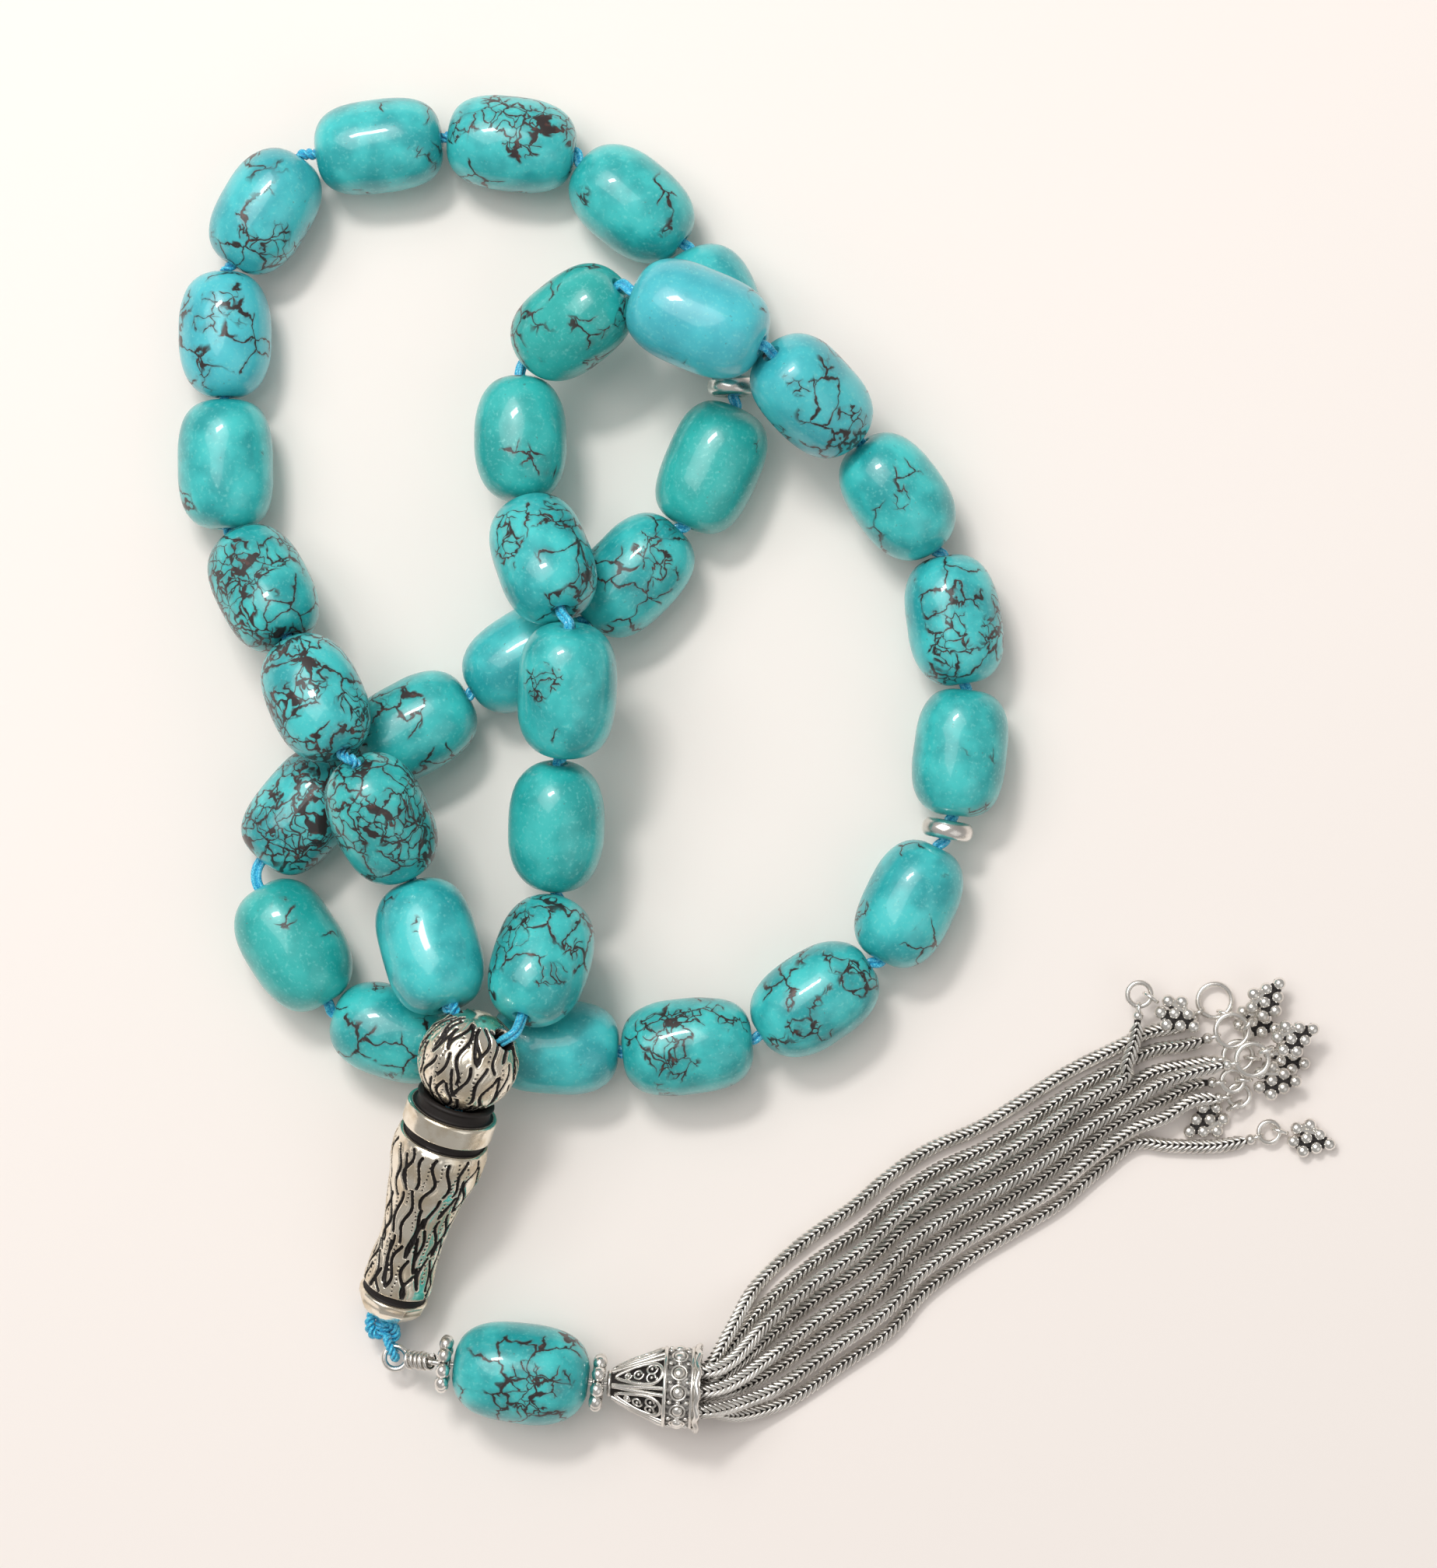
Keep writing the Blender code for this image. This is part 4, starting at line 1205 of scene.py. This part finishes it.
@dataclass
class TasselHead:
    """The stone bead, the granulated spacers and the filigree cap on the wire, in mm."""

    bead_place: tuple = (-26.05, -66.65)
    bead_scale: float = 1.05
    heading: float = -7.0
    spacer_offset: float = 8.45
    spacer_granules: int = 9
    cap_place: tuple = (-16.55, -67.75)
    cap_heading: float = -3.3
    inner_eye_along: float = 4.8
    panels: int = 6
    studs: int = 12
    cap_lines: tuple = ((0.0, 1.25), (3.0, 2.85), (6.1, 4.1), (9.3, 4.25))
    # Points of (along, radius, darkness): the cone under the filigree is drawn black and the studded band
    # half dark, tarnish and painted shade between the wires.
    cap_wall: tuple = (
        (0.0, 0.75, 1.0), (0.0, 1.15, 1.0), (3.0, 2.72, 1.0), (6.1, 4.0, 1.0), (6.15, 4.06, 0.5),
        (9.2, 4.22, 0.5), (9.3, 4.28, 0.2), (10.0, 4.4, 0.2), (10.0, 4.1, 1.0), (6.1, 3.75, 1.0),
        (3.0, 2.3, 1.0),
    )
    scrolls: tuple = ((4.75, -8.0, 0.62), (4.75, 8.0, 0.62), (3.3, 0.0, 0.55), (2.2, 0.0, 0.36))
    spacer_shade_core: tuple = ((0.42, 0.8), (0.42, 2.2), (0.3, 2.45), (-0.3, 2.45), (-0.42, 2.2), (-0.42, 0.8))
    spacer_reach: float = 2.4

    def height(self) -> float:
        """The height of the bead's and the cap's axis."""
        return StoneBead.radius * self.bead_scale

    def at(self, along: float) -> Vector:
        """A point on the bead's axis, this far past its middle."""
        return lying((*self.bead_place, self.height()), self.heading) @ Vector((along, 0, 0))

    def cap_placing(self) -> Matrix:
        """The cap's placing: its origin is the cone's tip, and its X runs out of the mouth."""
        return lying((*self.cap_place, self.height()), self.cap_heading)

    def bead(self, stone: bpy.types.Material) -> None:
        """Makes the stone bead."""
        length, radius = StoneBead.length * self.bead_scale, StoneBead.radius * self.bead_scale
        bead = StoneBead(length=length, radius=radius, roundness=2.7)
        mesh = bead.mesh("stone_tassel_bead", 77, VeinDensity.MEDIUM, 0.0)
        place = along_axis(*joint_line("tassel_bead_spin"))
        placed(mesh, place, stone, "tassel_bead", ["tassel_bead"])
        LOG.info("tassel bead")

    def spacers(self, silver: bpy.types.Material) -> None:
        """Makes the two rings of granules."""
        for number in (1, 2):
            node = f"beaded_spacer_{number}"
            shells = Shells()
            # A black core under the granules: painted shade in the gaps between them.
            shells.turned([(along, radius, 1.0) for along, radius in self.spacer_shade_core], 40)
            for step in range(self.spacer_granules):
                angle = math.tau * (step + 0.5) / self.spacer_granules
                middle = (0, math.cos(angle) * self.spacer_reach, math.sin(angle) * self.spacer_reach)
                shells.granule(middle, (0.76, 0.84, 0.84), segments=24)
            for side in (0.42, -0.42):
                shells.hoop((side, 0, 0), 1.25, 0.2, (1, 0, 0))
            mesh = shells.mesh(f"granulated_spacer_{number}")
            placed(mesh, along_axis(*joint_line(f"{node}_spin")), silver, node, [node])
        LOG.info("2 granulated spacers")

    def cone_radius(self, along: float) -> float:
        """The cap's outside radius at a place along it."""
        places, radii = zip(*self.cap_lines)
        return float(np.interp(along, places, radii))

    def on_cone(self, along: float, angle: float, lift: float) -> Vector:
        """A point that much above the cap's surface, with the angle in degrees."""
        radius = self.cone_radius(along) + lift
        turn = math.radians(angle)
        return Vector((along, math.cos(turn) * radius, math.sin(turn) * radius))

    def panel(self, shells: Shells, middle: float) -> None:
        """Adds one leaf of filigree: its outline, the scrolls inside it and the granules in them."""
        leaf = []
        for number in range(41):
            turn = math.tau * number / 40
            share = (1 - math.cos(turn)) / 2
            width = 23.5 * math.copysign(abs(math.sin(turn)) ** 0.9, math.sin(turn)) * (0.62 + 0.38 * share)
            leaf.append(self.on_cone(mix_numbers(0.9, 5.9, share), middle + width, 0.10))
        shells.wire(leaf[:-1], 0.20, closed=True)
        for along, offset, radius in self.scrolls:
            base = self.cone_radius(along)
            scroll = []
            for number in range(29):
                turn = math.radians(number * 13)
                reach = radius * (1 - 0.35 * number / 28)
                lean = math.degrees(reach * math.sin(turn) / base)
                scroll.append(self.on_cone(along + reach * math.cos(turn), middle + offset + lean, 0.02))
            shells.wire(scroll, 0.13, resolution=2)
            shells.granule(self.on_cone(along, middle + offset, 0.05), (0.19,) * 3, segments=10)

    def cap(self, silver: bpy.types.Material) -> None:
        """Makes the cone cap: the dark cone, its filigree leaves and ribs, the studded band and the rim."""
        shells = Shells()
        shells.turned(self.cap_wall, 96)
        for number in range(self.panels):
            middle = 360 * number / self.panels
            self.panel(shells, middle)
            edge = 360 * (number + 0.5) / self.panels
            for side in (-1, 1):
                rib = []
                for along in (0.5, 1.5, 2.5, 3.5, 4.5, 5.5, 6.1):
                    spread = math.degrees(0.30 * along / 6 / self.cone_radius(along) + 0.02)
                    rib.append(self.on_cone(along, edge + side * spread, 0.06))
                shells.wire(rib, 0.24)
        for along, radius, wire in ((0.15, 1.2, 0.26), (6.2, 4.2, 0.22), (9.15, 4.3, 0.2)):
            shells.hoop((along, 0, 0), radius, wire, (1, 0, 0), 0.0, 72)
        for number in range(self.studs):
            angle = 360 * number / self.studs
            turn = Matrix.Rotation(math.radians(angle), 4, "X")
            middle = self.on_cone(7.7, angle, 0.0)
            self.stud(shells, middle, turn)
            between = self.on_cone(7.7, angle + 180 / self.studs, 0.02)
            for shift in (-0.95, 0.0, 0.95):
                shells.granule(between + Vector((shift, 0, 0)), (0.3, 0.24, 0.24), segments=10)
        rim = []
        for number in range(144):
            angle = math.tau * number / 144
            radius = 4.55 + 0.10 * math.cos(angle * self.studs)
            along = 9.72 + 0.12 * math.cos(angle * self.studs)
            rim.append(Vector((along, math.cos(angle) * radius, math.sin(angle) * radius)))
        shells.wire(rim, 0.32, closed=True)
        mesh = shells.mesh("filigree_cap")
        placed(mesh, self.cap_placing(), silver, "cone_cap", ["cone_cap"], crease=50.0)
        LOG.info("filigree cap, %d leaves and %d studs", self.panels, self.studs)

    @staticmethod
    def stud(shells: Shells, middle: Vector, turn: Matrix) -> None:
        """Adds a round stud in its own ring."""
        dome = bmesh.new()
        bmesh.ops.create_uvsphere(
            dome, u_segments=20, v_segments=12, radius=1,
            matrix=Matrix.Translation(middle) @ turn @ Matrix.Diagonal((0.62, 0.40, 0.62, 1)),
        )
        mesh = bpy.data.meshes.new("stud")
        dome.to_mesh(mesh)
        dome.free()
        shells.keep(mesh)
        shells.hoop(middle, 0.82, 0.13, middle * Vector((0, 1, 1)), 0.0, 24)

    def build(self, stone: bpy.types.Material, silver: bpy.types.Material) -> None:
        """Makes the bead, the spacers and the cap."""
        self.bead(stone)
        self.spacers(silver)
        self.cap(silver)


@dataclass
class FoxtailChain:
    """A woven foxtail chain with a ring at its end, in mm."""

    number: int
    pitch: float = 0.68
    bar_radius: float = 0.20
    slant: float = 1.15
    bar_width: float = 0.72
    shade_core_radius: float = 0.38
    ring_wire: float = 0.28

    def route(self, cap: Matrix) -> list[Vector]:
        """The chain's line from inside the cap to its ring."""
        (across, up), first_height, share, layer, end = CHAINS[self.number - 1]
        centre, radius = Vector(RINGS[self.number - 1][0]), RINGS[self.number - 1][1]
        route = [cap @ Vector((along, across, up)) for along in (7.0, 10.6)]
        for station, (far, near) in enumerate(FAN):
            height = first_height if station == 0 else layer
            route.append(Vector(far).lerp(Vector(near), share).to_3d() + Vector((0, 0, height)) + SHIFT)
        route += [Vector(point) + SHIFT for point in end]
        centre += SHIFT
        route.append(centre + (route[-1] - centre).normalized() * (radius + 0.45))
        return route

    def straight(self, count: int) -> bpy.types.Mesh:
        """A straight chain along X: four slanted bars at each station, a herringbone on each side."""
        shape = bmesh.new()
        for quarter in range(4):
            turns = (6, 84) if quarter % 2 == 0 else (84, 6)
            start, end = (math.radians(90 * quarter + turn) for turn in turns)
            tail = Vector((0, math.cos(start), math.sin(start))) * self.bar_width
            head = Vector((self.slant, math.cos(end) * self.bar_width, math.sin(end) * self.bar_width))
            way = head - tail
            turn = way.to_track_quat("Z", "Y").to_matrix().to_4x4()
            bmesh.ops.create_icosphere(
                shape, subdivisions=2, radius=1,
                matrix=Matrix.Translation((tail + head) / 2) @ turn
                @ Matrix.Diagonal((self.bar_radius, self.bar_radius, way.length * 0.58, 1)),
            )
        mesh = bpy.data.meshes.new("bars")
        shape.to_mesh(mesh)
        shape.free()
        piece = bpy.data.objects.new("bars", mesh)
        array = piece.modifiers.new("stations", "ARRAY")
        array.use_relative_offset = False
        array.use_constant_offset = True
        array.constant_offset_displace = (self.pitch, 0, 0)
        array.count = count
        return evaluated(piece)

    def bent(self, mesh: bpy.types.Mesh, line: Sequence[Vector], roll: float) -> None:
        """Bends a straight mesh along a line.

        Args:
            mesh: The mesh, along X.
            line: The line, at even steps.
            roll: How far the mesh turns about the line from end to end, in radians.
        """
        path = np.array([tuple(point) for point in line])
        ahead = np.gradient(path, axis=0)
        ahead /= np.linalg.norm(ahead, axis=1)[:, None]
        side = np.cross(np.array((0.0, 0.0, 1.0)), ahead)
        side /= np.linalg.norm(side, axis=1)[:, None]
        up = np.cross(ahead, side)
        reach = np.linspace(0, line_length(line), len(path))
        points = coordinates(mesh)
        turn = roll * points[:, 0] / reach[-1] + 0.12 * np.sin(points[:, 0] * 0.13 + self.number)
        across = points[:, 1] * np.cos(turn) - points[:, 2] * np.sin(turn)
        above = points[:, 1] * np.sin(turn) + points[:, 2] * np.cos(turn)

        def at(values: np.ndarray) -> np.ndarray:
            """The line's values where each point is."""
            return np.stack([np.interp(points[:, 0], reach, axis) for axis in values.T], axis=1)

        reshape(mesh, at(path) + at(side) * across[:, None] + at(up) * above[:, None])

    def build(self, silver: bpy.types.Material, cap: Matrix) -> None:
        """Makes the chain and its end ring as one piece."""
        line = even_line(smooth_line(self.route(cap), 10), 0.3)
        count = int((line_length(line) - self.slant - 0.1) / self.pitch)
        shells = Shells()
        bars = self.straight(count)
        self.bent(bars, line, 0.2 * math.sin(self.number * 2.1))
        shells.keep(bars)
        # A black core wire inside the bars: painted shade in the gaps between them.
        shells.wire(line[:-2], self.shade_core_radius, 1.0, resolution=2)
        centre, radius = Vector(RINGS[self.number - 1][0]) + SHIFT, RINGS[self.number - 1][1]
        shells.hoop(centre, radius, self.ring_wire, (0, 0, 1))
        last = line[-1]
        toward = (centre - last).normalized()
        level = Vector((toward.y, -toward.x, 0)).normalized()
        shells.hoop(last + toward * 0.15, 0.62, 0.22, level, 0.0, 24)
        shells.granule(line[-3], (0.62, 0.62, 0.62), 0.0, 12)
        node = f"tassel_chain_{self.number}"
        mesh = shells.mesh(f"foxtail_chain_{self.number}")
        placed(mesh, Matrix(), silver, node, [node], crease=60.0)
        LOG.info("foxtail chain %d, %.1f mm, %d stations", self.number, line_length(line), count)


@dataclass
class GranulatedCharm:
    """A small rhombic plate of granules with a loop, in mm from the loop's centre."""

    number: int
    pitch_along: float = 1.3
    pitch_across: float = 0.75
    corner: float = 0.5
    granule: float = 0.71
    loop_radius: float = 0.85
    loop_wire: float = 0.23
    side: int = 3

    def build(self, silver: bpy.types.Material) -> None:
        """Makes the charm on its ring."""
        centre, radius, link_angle, heading, drop = RINGS[self.number - 1]
        angle = math.radians(link_angle)
        link = Vector(centre) + Vector((math.cos(angle), math.sin(angle), 0)) * radius
        shells = Shells()
        shells.hoop((0, 0, 0), self.loop_radius, self.loop_wire, (0, 1, 0), 0.0, 32)
        for row in range(self.side):
            for column in range(self.side):
                if row + column == 0:
                    continue
                along = self.corner + (row + column) * self.pitch_along
                across = (column - row) * self.pitch_across
                radii = (self.granule, self.granule, self.granule * 0.9)
                shells.granule((along, across, -drop), radii, segments=20)
        self.web(shells, -drop)
        node = f"tassel_charm_{self.number}"
        mesh = shells.mesh(f"granulated_charm_{self.number}")
        placed(mesh, lying(link, heading), silver, node, [node])
        LOG.info("granulated charm %d", self.number)

    def web(self, shells: Shells, height: float) -> None:
        """Adds the dark solder between the granules: a small bridge from each granule to the next ones."""
        for row in range(self.side):
            for column in range(self.side):
                for down, right in ((1, 0), (0, 1), (1, 1)):
                    if row + down >= self.side or column + right >= self.side or row + column == 0:
                        continue
                    ends = []
                    for r, c in ((row, column), (row + down, column + right)):
                        along = self.corner + (r + c) * self.pitch_along
                        ends.append(Vector((along, (c - r) * self.pitch_across, height)))
                    shells.wire(ends, 0.33, 1.0, resolution=1)


def studio() -> None:
    """Makes the floor, the soft lights, the surroundings and the camera."""
    shape = bmesh.new()
    bmesh.ops.create_grid(shape, x_segments=2, y_segments=2, size=3.0)
    mesh = bpy.data.meshes.new("pale_floor")
    shape.to_mesh(mesh)
    shape.free()
    mesh.materials.append(FloorFinish().make())
    floor = bpy.data.objects.new("pale_floor", mesh)
    bpy.context.scene.collection.objects.link(floor)

    lamps = (
        ("key_softbox", (-0.16, 0.30, 0.52), (0.16, 0.07), 1.4, (1.0, 0.985, 0.96)),
        ("wide_softbox", (-0.32, 0.32, 0.85), (0.8, 0.8), 4.7, (1.0, 0.985, 0.965)),
        ("fill_softbox", (0.6, -0.5, 0.8), (0.8, 0.8), 1.0, (1.0, 0.99, 0.98)),
    )
    for name, place, (width, height), power, colour in lamps:
        data = bpy.data.lights.new(name, "AREA")
        data.shape = "RECTANGLE"
        data.size, data.size_y = width, height
        data.energy = power
        data.color = colour
        lamp = bpy.data.objects.new(name, data)
        lamp.location = place
        lamp.rotation_euler = (-Vector(place)).to_track_quat("-Z", "Y").to_euler()
        bpy.context.scene.collection.objects.link(lamp)

    world = bpy.data.worlds.new("studio")
    world.use_nodes = True
    background = world.node_tree.nodes["Background"]
    background.inputs["Color"].default_value = (1.0, 0.975, 0.95, 1.0)
    background.inputs["Strength"].default_value = 0.38
    bpy.context.scene.world = world
    bpy.context.scene.view_settings.view_transform = "Standard"

    data = bpy.data.cameras.new("camera")
    data.sensor_fit = "HORIZONTAL"
    data.angle = 2 * math.atan(VIEW_HALF_WIDTH / VIEW_DISTANCE)
    data.clip_start = 0.01
    camera = bpy.data.objects.new("camera", data)
    camera.location = CAMERA_PLACE
    bpy.context.scene.collection.objects.link(camera)
    bpy.context.scene.camera = camera


def main() -> None:
    """Builds every piece of the beads, and the studio round them."""
    logging.basicConfig(level=logging.INFO, format="%(name)s: %(message)s")
    studio()
    stone = StoneFinish().make()
    warm_silver = SilverFinish("aged_silver", linear(250, 242, 226), linear(224, 210, 186), 0.18).make()
    white_silver = SilverFinish("white_silver", linear(244, 241, 236), linear(216, 212, 206), 0.20).make()
    nylon = NylonFinish().make()

    imam, cord, head = ImamShape(), TwistedCord(), TasselHead()
    StringLoop(imam, cord).build(nylon)
    BeadLoop().build(stone)
    SeparatorDisc().build(white_silver)
    Imam(imam).build(warm_silver)
    KnotAndTail(imam, cord).build(nylon)
    TasselWire().build(white_silver, head)
    head.build(stone, white_silver)
    for number in range(1, len(CHAINS) + 1):
        FoxtailChain(number).build(white_silver, head.cap_placing())
        GranulatedCharm(number).build(white_silver)


if __name__ == "__main__":
    main()
